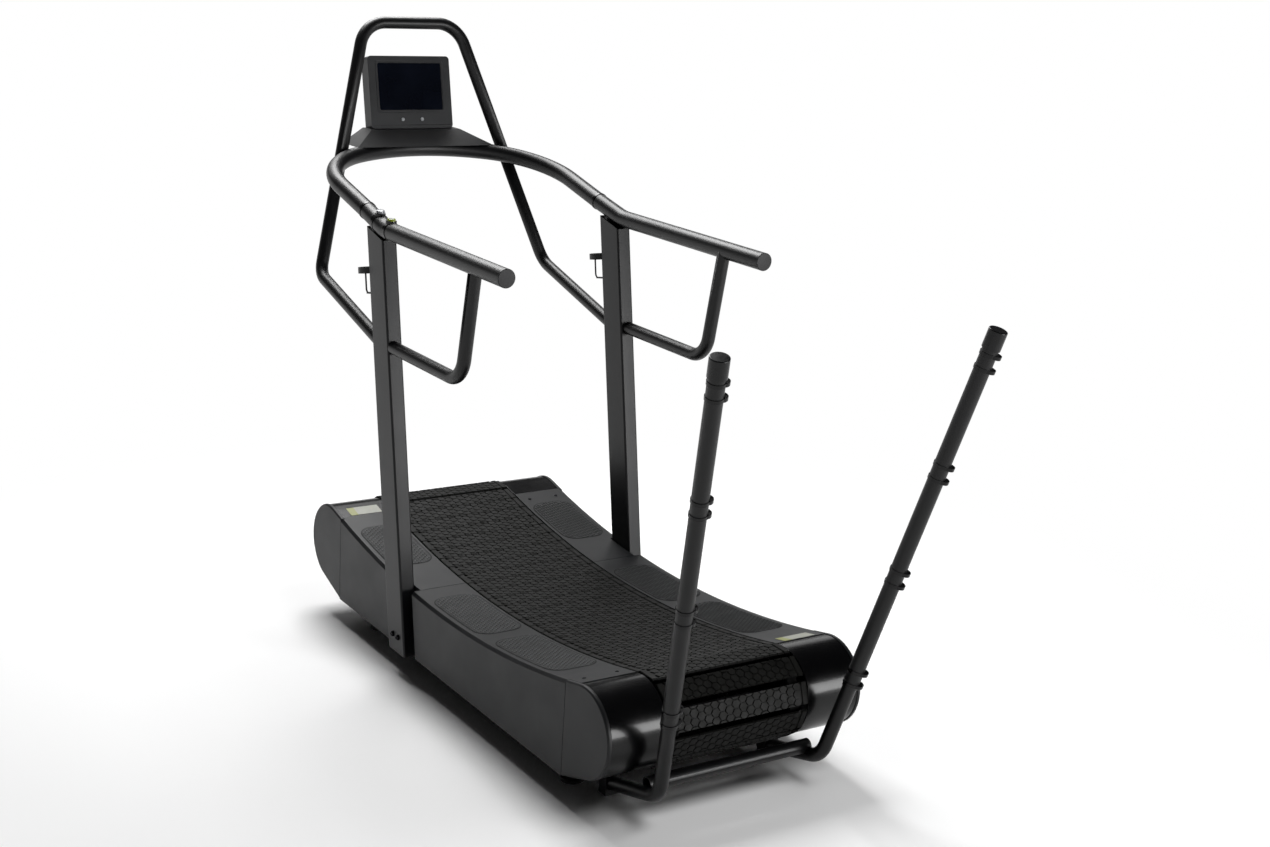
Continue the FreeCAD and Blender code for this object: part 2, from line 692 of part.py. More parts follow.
carrier_belts = []
for side, sign in sides:
    body = new_body("carrier_belt_" + side)
    sketch = profile(body, "loops", [belt_loop(belt_outer), belt_loop(belt_inner)])
    pad(body, sketch, drive_belt_width, middle=True)
    place(body, x=drive_belt_place * sign)
    carrier_belts.append(body)
group("drive_belts", carrier_belts)

# Shafts, pulleys and bearings
shaft_length = (plate_place + plate_thickness + shaft_overhang) * 2
bearings = []
for end, way in ends:
    y = half_span * way
    shaft = cross_rod(end + "_shaft_rod", shaft_diameter, shaft_length, zero, y, pulley_height)
    group(end + "_shaft", [shaft])
    pulleys = []
    for side, sign in sides:
        x = drive_belt_place * sign
        name = end + "_" + side
        outer = cross_rod(name + "_outer", pulley_radius * 2, pulley_width, x, y, pulley_height)
        hollow = (pulley_radius - pulley_rim) * 2
        inner = cross_rod(name + "_inner", hollow, pulley_width * 2, x, y, pulley_height)
        rim = cut(name + "_rim", outer, inner)
        web = cross_rod(name + "_web", (pulley_radius - pulley_rim / 2) * 2, pulley_web, x, y, pulley_height)
        hub = cross_rod(name + "_hub", pulley_hub, pulley_width, x, y, pulley_height)
        solid = fuse(name + "_solid", [rim, web, hub])
        bore = cross_rod(name + "_bore", shaft_diameter + fit_gap * 2, pulley_width * 2, x, y, pulley_height)
        pulleys.append(cut(name + "_pulley", solid, bore))
        x = (plate_place + plate_thickness / 2) * sign
        ring = cross_rod(name + "_ring", bearing_diameter, bearing_width, x, y, pulley_height)
        hole_diameter = shaft_diameter + fit_gap * 2
        hole = cross_rod(name + "_hole", hole_diameter, bearing_width * 2, x, y, pulley_height)
        bearings.append(cut(name + "_bearing", ring, hole))
    group(end + "_pulleys", pulleys)
group("shaft_bearings", bearings)

# Side plates
for side, sign in sides:
    body = new_body("side_frame_" + side)
    nose = half_span + plate_end
    shoulder = half_span - plate_shoulder
    plate_arc = run_radius + plate_inset
    toe = half_span - plate_end
    corners = [
        (-toe, plate_low),
        (toe, plate_low),
        (nose, pulley_height - plate_nose_low),
        (nose, pulley_height + plate_nose_top),
        (shoulder, arc_height(plate_arc, shoulder)),
        (-shoulder, arc_height(plate_arc, shoulder)),
        (-nose, pulley_height + plate_nose_top),
        (-nose, pulley_height - plate_nose_low),
    ]
    holes = [(half_span * way, pulley_height, bearing_diameter + fit_gap * 2) for _, way in ends]
    plate = [(corners, {4: (plate_arc, (zero, run_centre))})] + holes
    pad(body, profile(body, "plate", plate), plate_thickness, back=sign < 0)
    place(body, x=plate_place * sign)
    keep(body, "side_frame_" + side)


def beam(name, x, y, z, length, width, height):
    """A hollow beam along X from x, centred on y, standing on z."""
    outer = box(name + "_outer", x, y - width / 2, z, length, width, height)
    inner = box(name + "_inner", x - overrun, y - width / 2 + beam_wall, z + beam_wall,
                length + overrun * 2, width - beam_wall * 2, height - beam_wall * 2)
    return cut(name, outer, inner)


# Cross members and outriggers
cross_members = []
for index, way in enumerate((-1, 0, 1)):
    cross_members.append(beam("cross_member_%d" % index, -plate_place, cross_pitch * way, cross_base,
                              plate_place * 2, beam_width, beam_height))
group("cross_members", cross_members)

plate_outer = plate_place + plate_thickness
cover_face = panel_place - cover_wall - seat_gap
outrigger_places = (-foot_place, outrigger_rear, wheel_place, foot_place)
outriggers = []
for side, sign in sides:
    start = plate_outer if sign > 0 else -cover_face
    length = cover_face - plate_outer
    for index, y in enumerate(outrigger_places):
        name = "outrigger_%s_%d" % (side, index)
        arm = beam(name + "_arm", start, y, outrigger_base, length, beam_width, beam_height)
        if y in (outrigger_places[0], outrigger_places[-1]):
            hole = rod(name + "_hole", foot_stem + fit_gap * 2, overrun * 2, foot_side * sign, y,
                       outrigger_base - overrun)
            arm = cut(name, arm, hole)
        outriggers.append(arm)
    inner = upright_place - upright_width / 2
    start = plate_outer if sign > 0 else -inner
    middle = rear_face(socket_base + socket_height / 2) + upright_depth / 2
    outriggers.append(beam("upright_socket_" + side, start, middle, socket_base,
                           inner - plate_outer, socket_width, socket_height))
group("outriggers", outriggers)

# Curved rails with the guide rollers that give the running surface its shape
rails = []
rollers = []
for side, sign in sides:
    body = new_body("roller_rail_bar_" + side)
    top = roller_run - rail_depth / 2
    low = roller_run + rail_depth / 2
    centre = (zero, run_centre)
    corners = [
        (-rail_half, arc_height(low, rail_half)),
        (rail_half, arc_height(low, rail_half)),
        (rail_half, arc_height(top, rail_half)),
        (-rail_half, arc_height(top, rail_half)),
    ]
    bar = profile(body, "bar", [(corners, {0: (low, centre), 2: (top, centre)})])
    pad(body, bar, rail_bar, back=sign > 0)
    place(body, x=plate_place * sign)
    pieces = [body]
    for index in range(roller_count):
        y = roller_pitch * (index - (roller_count - 1) / 2)
        z = arc_height(roller_run, y)
        name = "%s_%d" % (side, index)
        reach = plate_place - drive_belt_place + roller_width
        pieces.append(cross_rod("axle_" + name, roller_axle, reach, (plate_place - reach / 2) * sign, y, z))
        x = drive_belt_place * sign
        wheel = cross_rod("roll_" + name, roller_diameter, roller_width, x, y, z)
        bore = cross_rod("bore_" + name, roller_axle + fit_gap * 2, roller_width * 2, x, y, z)
        rollers.append(cut("roller_" + name, wheel, bore))
    rails.append(fuse("roller_rail_" + side, pieces))
group("roller_rails", rails)
group("guide_rollers", rollers)

# Side covers: top plate, bevel and side wall in one shell
cover_width = panel_place - cover_inner
notch_inner = upright_place - upright_width / 2 - upright_gap
below = panel_bottom - overrun
crown = pulley_height + slat_reach + overrun
run_axis = (zero, run_centre)
cover_ends = {-1: cover_end_rear, 1: cover_end_front}


def side_cover(label, sign, way):
    body = new_body(label)
    left = sign < 0
    low_radius = run_radius + cover_wall
    end = cover_ends[way] * way
    if way < 0:
        seam_low = slot_edge(panel_bottom)
        seam_top = cover_seam
        inner_low = slot_edge(below) - cover_wall
        inner_top = cover_seam - cover_wall
    else:
        seam_low = slot_edge(panel_bottom) + seam_gap
        seam_top = cover_seam + seam_gap
        inner_low = slot_edge(below) - overrun
        inner_top = cover_seam - overrun
    corners = [
        (end, panel_bottom),
        (seam_low, panel_bottom),
        (seam_top, surface(seam_top)),
        (end, surface(end)),
    ]
    sketch = profile(body, "shell", [(corners, {2: (run_radius, run_axis)})])
    shell = pad(body, sketch, cover_width, back=left)
    bevel = dress(body, "Chamfer", shell, cover_chamfer, lambda edge: (
        edge.BoundBox.ZMin > panel_bottom.value + overrun.value
        and edge.BoundBox.XLength < overrun.value and edge.BoundBox.YLength > cover_seam.value
        and abs(edge.CenterOfMass.x) > cover_width.value / 2))
    past = end + overrun * way
    hollow = [(past, below), (inner_low, below), (inner_top, arc_height(low_radius, inner_top)),
              (past, arc_height(low_radius, past))]
    pocket(body, profile(body, "hollow", [(hollow, {2: (low_radius, run_axis)})]),
           cover_width - cover_wall, back=not left)
    if way < 0:
        open_low = slot_edge(below) + overrun
        open_top = cover_seam + overrun
        passage = [(past, below), (open_low, below), (open_top, arc_height(low_radius, open_top)),
                   (past, arc_height(low_radius, past))]
        pocket(body, profile(body, "passage", [(passage, {2: (low_radius, run_axis)})]),
               notch_inner - cover_inner, back=not left)
    step = (cover_width - panel_thickness - seam_gap) * sign
    tip = rectangle(panel_seam * way, below, past, crown)
    tip_sketch = profile(body, "tip", [tip], offset=step)
    pocket(body, tip_sketch, panel_thickness * 2, back=not left)
    if way > 0:
        step = (notch_inner - cover_inner) * sign
        front_low = rear_face(below) + upright_depth + upright_gap
        front_top = rear_face(crown) + upright_depth + upright_gap
        notch = [(slot_edge(below) - overrun, below), (front_low, below), (front_top, crown),
                 (slot_edge(crown) - overrun, crown)]
        pocket(body, profile(body, "notch", [(notch, {})], offset=step), cover_width, back=not left)
    place(body, x=cover_inner * sign)
    return keep(body, label)


for end, way in ends:
    for side, sign in sides:
        side_cover("side_cover_%s_%s" % (end, side), sign, way)

# Round end panels and glossy end covers
end_panels = []
end_covers = []
for end, way in ends:
    for side, sign in sides:
        axle = (half_span * way, pulley_height)
        seam = (panel_seam + seam_gap) * way
        drop = pulley_height - panel_bottom
        inboard = half_span - panel_seam - seam_gap
        far = root(inboard * inboard + drop * drop)
        touch = arctangent(drop / inboard) + arccosine(slat_reach / far)
        touch_y = (half_span - slat_reach * cosine(touch)) * way
        touch_z = pulley_height - slat_reach * sine(touch)
        top_y = half_span * (1 - slat_reach / reach_radius) * way
        top_z = pulley_height + (run_centre - pulley_height) * (slat_reach / reach_radius)
        corners = [
            (seam, panel_bottom),
            (touch_y, touch_z),
            ((half_span + slat_reach) * way, pulley_height),
            (top_y, top_z),
            (seam, surface(seam)),
        ]
        body = new_body("end_panel_%s_%s" % (end, side))
        curves = {1: (slat_reach, axle), 2: (slat_reach, axle), 3: (run_radius, run_axis)}
        plate = pad(body, profile(body, "disc", [(corners, curves)]), panel_thickness, back=sign > 0)
        dress(body, "Chamfer", plate, cover_chamfer / 2, lambda edge: (
            edge.BoundBox.XLength < seam_gap.value and abs(edge.CenterOfMass.x) < seam_gap.value
            and edge.BoundBox.ZMin > panel_bottom.value + overrun.value))
        place(body, x=panel_place * sign)
        end_panels.append(body)

        outer = slat_reach - end_cover_step
        inner = outer - end_cover_wall
        lip = (cover_ends[way] + seam_gap) * way
        outer_top = outer / reach_radius
        inner_top = inner / reach_radius
        corners = [
            (lip, arc_height(reach_radius - outer, lip)),
            (half_span * (1 - outer_top) * way, pulley_height + (run_centre - pulley_height) * outer_top),
            ((half_span + outer) * way, pulley_height),
            (half_span * way, pulley_height - outer),
            (half_span * way, pulley_height - inner),
            ((half_span + inner) * way, pulley_height),
            (half_span * (1 - inner_top) * way, pulley_height + (run_centre - pulley_height) * inner_top),
            (lip, arc_height(reach_radius - inner, lip)),
        ]
        body = new_body("end_cover_%s_%s" % (end, side))
        curves = {0: (reach_radius - outer, run_axis), 1: (outer, axle), 2: (outer, axle),
                  4: (inner, axle), 5: (inner, axle), 6: (reach_radius - inner, run_axis)}
        reach = panel_place - panel_thickness - seat_gap - cover_inner
        pad(body, profile(body, "wrap", [(corners, curves)]), reach, back=sign < 0)
        place(body, x=cover_inner * sign)
        end_covers.append(body)
group("end_panels", end_panels)
group("end_covers", end_covers)


# Grip pads, labels and screws on the covers
def on_surface(shape_face, thickness, drop=zero):
    """A flat outline thickened between the running surface, or a drop below it, and a height above."""
    axis_start = Vector(-panel_place.value, 0, run_centre.value)
    under = (run_radius + drop - weld_gap).value
    full = Part.makeCylinder(under, 2 * panel_place.value, axis_start, across)
    core = Part.makeCylinder(under - thickness, 2 * panel_place.value, axis_start, across)
    column = shape_face.extrude(Vector(0, 0, slat_reach.value * 2))
    return column.common(full).cut(core)


def rounded_face(x, y, width, length, radius):
    """A rounded rectangle in plan, well below the covers."""
    half_x = width / 2
    half_y = length / 2
    z = pulley_height.value
    ring = [Vector(x - half_x, y - half_y, z), Vector(x + half_x, y - half_y, z),
            Vector(x + half_x, y + half_y, z), Vector(x - half_x, y + half_y, z)]
    middle = (ring[0] + ring[1]) / 2
    wire = route([middle] + ring[1:] + ring[:1] + [middle], [radius] * 4)
    return Part.Face(wire)


pad_places = ((pad_front, pad_front_length), (pad_middle, pad_middle_length), (pad_rear, pad_rear_length))
pads = []
for side, sign in sides:
    for y, length in pad_places:
        face = rounded_face(sign * pad_place.value, y.value, pad_width.value, length.value, pad_corner.value)
        pads.append(on_surface(face, pad_rise.value))
feature("grip_pads", Part.Compound(pads))


labels = []
for x, y, drop in ((-pad_place, label_front, end_cover_step), (pad_place, label_rear, zero)):
    corner = label_thickness.value * 2
    face = rounded_face(x.value, y.value, label_length.value, label_width.value, corner)
    labels.append(on_surface(face, label_thickness.value, drop))
feature("label_plates", Part.Compound(labels))

screws = []
for side, sign in sides:
    for end, way in ends:
        if (side, end) in (("left", "front"), ("right", "rear")):
            continue
        y = (cover_ends[way] - screw_inset) * way
        tilt = Rotation(across, math.degrees(math.asin((y / run_radius).value)))
        for index, step in enumerate((-1, 1)):
            name = "cover_screw_%s_%s_%d" % (side, end, index)
            screws.append(rod(name, screw_head, screw_height, (pad_place + screw_half * step) * sign, y,
                              surface(y), tilt))
group("cover_screws", screws)

# Levelling feet and transport wheels
for end, way in ends:
    for side, sign in sides:
        label = "levelling_foot_%s_%s" % (end, side)
        x = foot_side * sign
        y = foot_place * way
        disc = rod(label + "_disc", foot_pad, foot_pad_height, x, y, zero)
        stem = rod(label + "_stem", foot_stem, outrigger_base + foot_stem_entry - foot_pad_height, x, y,
                   foot_pad_height)
        keep(fuse(label + "_solid", [disc, stem]), label)

brackets = []
for side, sign in sides:
    x = wheel_side * sign
    label = "transport_wheel_" + side
    wheel = cross_rod(label + "_tyre", wheel_diameter, wheel_width, x, wheel_place, wheel_height)
    bore_diameter = wheel_axle + fit_gap * 2
    bore = cross_rod(label + "_bore", bore_diameter, wheel_width * 2, x, wheel_place, wheel_height)
    keep(cut(label + "_solid", wheel, bore), label)
    base = wheel_height - cheek_drop
    offset = wheel_width / 2 + cheek_gap
    cheeks = []
    for index, shift in enumerate((-offset - cheek_wall, offset)):
        cheeks.append(box("cheek_%s_%d" % (side, index), x + shift, wheel_place - cheek_width / 2, base,
                          cheek_wall, cheek_width, outrigger_base - base))
    reach = (offset + cheek_wall) * 2
    cheeks.append(cross_rod("axle_" + side, wheel_axle, reach, x, wheel_place, wheel_height))
    brackets.append(fuse("wheel_bracket_" + side, cheeks))
group("wheel_brackets", brackets)

# Uprights, cut to the handrails' slope at the top
rail_under = rail_height - (rail_tube / 2 + weld_gap) / cosine(rail_slope)


def upright_top(shift):
    """Where an upright's face, shifted along the deck, meets the rising handrail's underside."""
    climb = rail_under - rail_bend * rail_rise - upright_bottom
    y = (upright_heel + shift + climb * lean_slope) / (1 - rail_rise * lean_slope)
    return y, rail_under + (y - rail_bend) * rail_rise


def upright_outline(inset, low, lift):
    rear_top = upright_top(inset)
    front_top = upright_top(upright_depth - inset)
    drop = (upright_bottom - low) * lean_slope
    return [
        (upright_heel + inset - drop, low),
        (upright_heel + upright_depth - inset - drop, low),
        (front_top[0] + lift * lean_slope, front_top[1] + lift),
        (rear_top[0] + lift * lean_slope, rear_top[1] + lift),
    ]


bolts = []
envelopes = {}
for side, sign in sides:
    body = new_body("upright_" + side)
    sketch = profile(body, "outline", [(upright_outline(zero, upright_bottom, zero), {})])
    solid = pad(body, sketch, upright_width, middle=True)
    rounded = dress(body, "Fillet", solid, upright_corner, lambda edge: edge.Length > rail_height.value / 2)
    hollow = upright_outline(upright_wall, upright_bottom - overrun, overrun)
    pocket(body, profile(body, "hollow", [(hollow, {})]), upright_width - upright_wall * 2, middle=True)
    place(body, x=upright_place * sign)
    keep(body, "upright_" + side)
    height = upright_bottom + bolt_lift
    middle = rear_face(height) + upright_depth / 2
    face = upright_place + upright_width / 2
    for index, step in enumerate((-0.5, 0.5)):
        bolt = doc.addObject("Part::Prism", "upright_bolt_%s_%d" % (side, index))
        bolt.Polygon = 6
        bind(bolt, "Circumradius", bolt_head / 2)
        bind(bolt, "Height", bolt_height)
        bolt.Placement = Placement(Vector(), Rotation(Vector(0, 1, 0), 90 * sign))
        bolts.append(place(bolt, face * sign, middle + bolt_pitch * step, height))
    corners = upright_outline(-weld_gap, upright_bottom, zero)
    wall = Part.Face(Part.makePolygon([Vector(0, y.value, z.value) for y, z in corners + corners[:1]]))
    wall.translate(Vector(sign * upright_place.value - upright_width.value / 2, 0, 0))
    envelopes[side] = wall.extrude(Vector(upright_width.value, 0, 0))
group("upright_bolts", bolts)

# Handrails and front rail, which meet at the collars
collar_height = rail_height + (collar_place - rail_bend) * rail_rise
rail_outer = (rail_tube + weld_gap * 2).value
corner_x = upright_place - arch_corner_radius
bend = arch_front_radius - arch_corner_radius
corner_run = root(bend * bend - corner_x * corner_x)
corner_y = arch_reach - arch_front_radius + corner_run
touch_share = arch_front_radius / bend
touch_x = corner_x * touch_share
touch_run = arch_reach - arch_front_radius + corner_run * touch_share


def arch_arc(sign):
    """One rounded corner of the front rail, in its own plane."""
    middle = ((corner_x / bend).value + 1, (corner_run / bend).value)
    length = math.hypot(*middle)
    radius = arch_corner_radius.value
    return Part.Arc(
        Vector(sign * upright_place.value, corner_y.value, 0),
        Vector(sign * (corner_x.value + radius * middle[0] / length),
               corner_y.value + radius * middle[1] / length, 0),
        Vector(sign * touch_x.value, touch_run.value, 0)).toShape()


def arch_side(sign):
    """The straight run between a collar and the front rail's corner, in the rail's own plane."""
    x = sign * upright_place.value
    return Part.LineSegment(Vector(x, 0, 0), Vector(x, corner_y.value, 0)).toShape()


arch_wire = Part.Wire([
    arch_side(-1),
    arch_arc(-1),
    Part.Arc(Vector(-touch_x.value, touch_run.value, 0), Vector(0, arch_reach.value, 0),
             Vector(touch_x.value, touch_run.value, 0)).toShape(),
    arch_arc(1),
    arch_side(1),
])
arch_wire.Placement = Placement(
    Vector(0, collar_place.value, collar_height.value), Rotation(across, rail_slope.value))
tube("front_rail", arch_wire, rail_tube, tube_wall)
arch_solid = swept(arch_wire, rail_outer)

handrail_wires = {}
for side, sign in sides:
    handrail_wires[side] = route([
        point(rail_rear_side, rail_rear, rail_height, sign),
        point(rail_bend_side, rail_bend, rail_height, sign),
        point(upright_place, collar_place, collar_height, sign),
    ], [rail_bend_radius.value])
    tube("handrail_" + side, handrail_wires[side], rail_tube, tube_wall, [arch_solid])

collars = []
plugs = []
for side, sign in sides:
    slope = Rotation(across, rail_slope.value - 90)
    name = "rail_collar_" + side
    shift = collar_width / 2
    y = collar_place - shift * cosine(rail_slope)
    z = collar_height - shift * sine(rail_slope)
    ring = rod(name + "_ring", rail_tube + collar_rise * 2, collar_width, upright_place * sign, y, z, slope)
    past = collar_width * 3
    y = collar_place - past / 2 * cosine(rail_slope)
    z = collar_height - past / 2 * sine(rail_slope)
    bore = rod(name + "_bore", rail_tube + seat_gap * 2, past, upright_place * sign, y, z, slope)
    collars.append(cut(name, ring, bore))
    back = (point(rail_rear_side, rail_rear, rail_height, sign)
            - point(rail_bend_side, rail_bend, rail_height, sign)).normalize()
    start = point(rail_rear_side, rail_rear, rail_height, sign)
    cap = Part.makeCylinder(rail_tube.value / 2, plug_rise.value, start, back)
    cap = cap.makeFillet(plug_rise.value / 2, far_rim(cap, start))
    spigot = Part.makeCylinder((rail_tube / 2 - tube_wall - weld_gap).value, plug_depth.value, start, -back)
    plugs.append(cap.fuse(spigot).removeSplitter())
group("rail_collars", collars)
feature("rail_end_plugs", Part.Compound(plugs))

# Lower rails and front hoop
for side, sign in sides:
    low_end = rear_face(lower_rail_height) + upright_wall
    wire = route([
        point(lower_rail_side, lower_rail_top, rail_height, sign),
        point(lower_rail_side, lower_rail_bottom, lower_rail_height, sign),
        point(lower_rail_side, low_end, lower_rail_height, sign),
    ], [lower_rail_radius.value])
    handrail = swept(handrail_wires[side], rail_outer)
    tube("lower_rail_" + side, wire, small_tube, tube_wall, [handrail, envelopes[side]])

arch_place = collar_place + arch_reach * cosine(rail_slope)
arch_top = collar_height + arch_reach * sine(rail_slope)
console_place = arch_place + console_ahead
console_lift = arch_top + console_rise
hoop_top_half = upright_place - hoop_top_inset
hoop_top = console_place + hoop_top_ahead
hoop_top_height = console_lift + console_height + hoop_clearance
pass_side = arch_corner_radius - hoop_pass_inset
pass_run = corner_y + root(arch_corner_radius * arch_corner_radius - pass_side * pass_side)
pass_reach = pass_run + (rail_tube + small_tube) / 2 - hoop_bite
leg_share = hoop_top_inset / (hoop_top_inset - hoop_pass_inset)
pass_place = collar_place + pass_reach * cosine(rail_slope)
pass_height = collar_height + pass_reach * sine(rail_slope)
hoop_knee = hoop_top - (hoop_top - pass_place) * leg_share
hoop_knee_height = hoop_top_height - (hoop_top_height - pass_height) * leg_share
hoop_root = rear_face(hoop_root_height) + upright_depth - upright_wall
hoop_wire = route([
    point(upright_place, hoop_root, hoop_root_height, -1),
    point(upright_place, hoop_knee, hoop_knee_height, -1),
    point(hoop_top_half, hoop_top, hoop_top_height, -1),
    point(hoop_top_half, hoop_top, hoop_top_height),
    point(upright_place, hoop_knee, hoop_knee_height),
    point(upright_place, hoop_root, hoop_root_height),
], [hoop_knee_radius.value, hoop_top_radius.value, hoop_top_radius.value, hoop_knee_radius.value])
hoop_cutters = [envelopes["left"], envelopes["right"], arch_solid]
tube("front_hoop", hoop_wire, small_tube, tube_wall, hoop_cutters)
hoop_solid = swept(hoop_wire, (small_tube + weld_gap * 2).value)


# Console base, display housing, screen and buttons
def level_rectangle(half, rear, front, height):
    ring = [point(half, rear, height, -1), point(half, rear, height), point(half, front, height),
            point(half, front, height, -1)]
    return Part.makePolygon(ring + ring[:1])


base = Part.makeLoft([
    level_rectangle(base_low_half, arch_place - base_low_back, arch_place + base_low_ahead,
                    arch_top + base_rise),
    level_rectangle(base_top_half, console_place - base_top_back, console_place + base_top_ahead,
                    console_lift - seat_gap),
], True, True)
base = base.cut(arch_solid).cut(hoop_solid)


def on_display(shape):
    """Turn and move a shape from the display's own frame to its place on the base."""
    shape.Placement = Placement(Vector(0, console_place.value, console_lift.value),
                                Rotation(across, -console_tilt.value))
    return shape


margin = seat_gap.value
under_display = on_display(Part.makeBox(
    console_width.value, (console_depth + console_place).value, console_height.value,
    Vector(-console_width.value / 2, -margin, -margin)))
base = base.cut(under_display)
feature("console_base", max(base.Solids, key=lambda solid: solid.Volume))


def wrapped(name, piece):
    """One piece in a frame of its own."""
    item = doc.addObject("Part::Compound", name + "_frame")
    item.Links = [piece]
    return item


def tilted(item, label):
    """Stand a piece of the display on its tilted lower face edge."""
    item.Placement = Placement(Vector(), Rotation(across, -console_tilt.value))
    keep(item, label)
    return place(item, y=console_place + deck_shift, z=console_lift)


body = new_body("console_shell")
half = console_width / 2
outline = rectangle(-half, zero, half, console_height)
shell = pad(body, profile(body, "outline", [outline], "XZ_Plane"), console_depth, back=True)
dress(body, "Fillet", shell, console_corner, lambda edge: edge.BoundBox.YLength > console_depth.value / 2)
half = screen_width / 2 + seat_gap
low = screen_lift - seat_gap
opening = rectangle(-half, low, half, low + screen_height + seat_gap * 2)
pocket(body, profile(body, "screen", [opening], "XZ_Plane"), screen_depth + screen_recess)
holes = [(button_place * sign, button_lift, button_diameter + fit_gap * 2) for _, sign in sides]
button_hole = button_depth + button_travel + seat_gap
pocket(body, profile(body, "buttons", holes, "XZ_Plane"), button_hole)
tilted(body, "console_housing")

glass_start = -screen_width / 2
glass = box("glass", glass_start, screen_recess, screen_lift, screen_width, screen_depth, screen_height)
tilted(wrapped("glass", glass), "console_screen")
for side, sign in sides:
    name = "console_button_" + side
    cap = rod(name + "_cap", button_diameter, button_rise + button_depth, button_place * sign, -button_rise,
              button_lift, Rotation(across, -90))
    tilted(wrapped(name, cap), name)


# Round controls on the left handrail, each on a small strap
def handrail_line(y):
    """The left handrail's centre at a place along the deck, and how far it rises there."""
    ahead = y.value > rail_bend.value
    if ahead:
        share = (y - rail_bend) / (collar_place - rail_bend)
        x = rail_bend_side + (upright_place - rail_bend_side) * share
        return -x, rail_height + (y - rail_bend) * rail_rise, rail_slope.value
    share = (y - rail_rear) / (rail_bend - rail_rear)
    return -(rail_rear_side + (rail_bend_side - rail_rear_side) * share), rail_height, 0


straps = []
rail_solid = swept(handrail_wires["left"], (rail_tube + fit_gap * 2).value)
for color, y in (("yellow", remote_place - remote_half), ("grey", remote_place + remote_half)):
    x, z, rise = handrail_line(y)
    frame = Placement(Vector(x.value, y.value, z.value), Rotation(across, rise))
    seat_top = rail_tube / 2 + remote_height
    ring_radius = rail_tube / 2 + strap_wall
    strap = Part.makeCylinder(ring_radius.value, strap_width.value, Vector(0, -strap_width.value / 2, 0),
                              Vector(0, 1, 0))
    seat = Part.makeCylinder(remote_seat.value / 2, seat_top.value)
    hollow = Part.makeCylinder(
        (remote_button / 2 + fit_gap).value, seat_top.value,
        Vector(0, 0, (seat_top - remote_sink - button_travel - fit_gap).value))
    clip = strap.fuse(seat).cut(hollow)
    clip.Placement = frame
    straps.append(max(clip.cut(rail_solid).Solids, key=lambda solid: solid.Volume))
    name = "remote_button_" + color
    cap = rod(name + "_cap", remote_button, remote_sink + remote_rise, zero, zero,
              seat_top - remote_sink)
    cap_frame = wrapped(name, cap)
    cap_frame.Placement = Placement(Vector(), Rotation(across, rise))
    keep(cap_frame, name)
    place(cap_frame, x, y + deck_shift, z)
feature("remote_straps", Part.Compound(straps))

# Bottle cages on the uprights' front faces
cage_reach = cage_gap + cage_wall + cage_bore / 2
for side, sign in sides:
    label = "bottle_cage_" + side
    outer = cage_bore + cage_wall * 2
    band_base = cage_height - cage_band
    band = cut(label + "_band", rod(label + "_ring", outer, cage_band, zero, cage_reach, band_base),
               rod(label + "_bore", cage_bore, cage_height, zero, cage_reach, cage_height / 2))
    front = cage_reach + outer / 2 - cage_wall / 2
    wire = doc.addObject("Part::Feature", label + "_wire")
    wire.Shape = swept(route([
        point(zero, front, band_base + cage_band / 2),
        point(zero, front, cage_wire / 2),
        point(zero, cage_wall / 2, cage_wire / 2),
    ], [cage_bend.value]), cage_wire.value)
    pieces = [
        band,
        wire,
        box(label + "_plate", -cage_plate / 2, zero, zero, cage_plate, cage_wall, cage_height),
        box(label + "_arm", -cage_arm / 2, zero, band_base, cage_arm, cage_reach - cage_bore / 2, cage_band),
        box(label + "_foot", -cage_arm / 2, zero, zero, cage_arm, front - cage_bend, cage_wall),
    ]
    cage = fuse(label + "_solid", pieces)
    cage.Placement = Placement(Vector(), Rotation(across, -upright_lean.value))
    keep(cage, label)
    front_face = rear_face(cage_lift) + upright_depth
    place(cage, upright_place * sign, front_face + deck_shift, cage_lift)

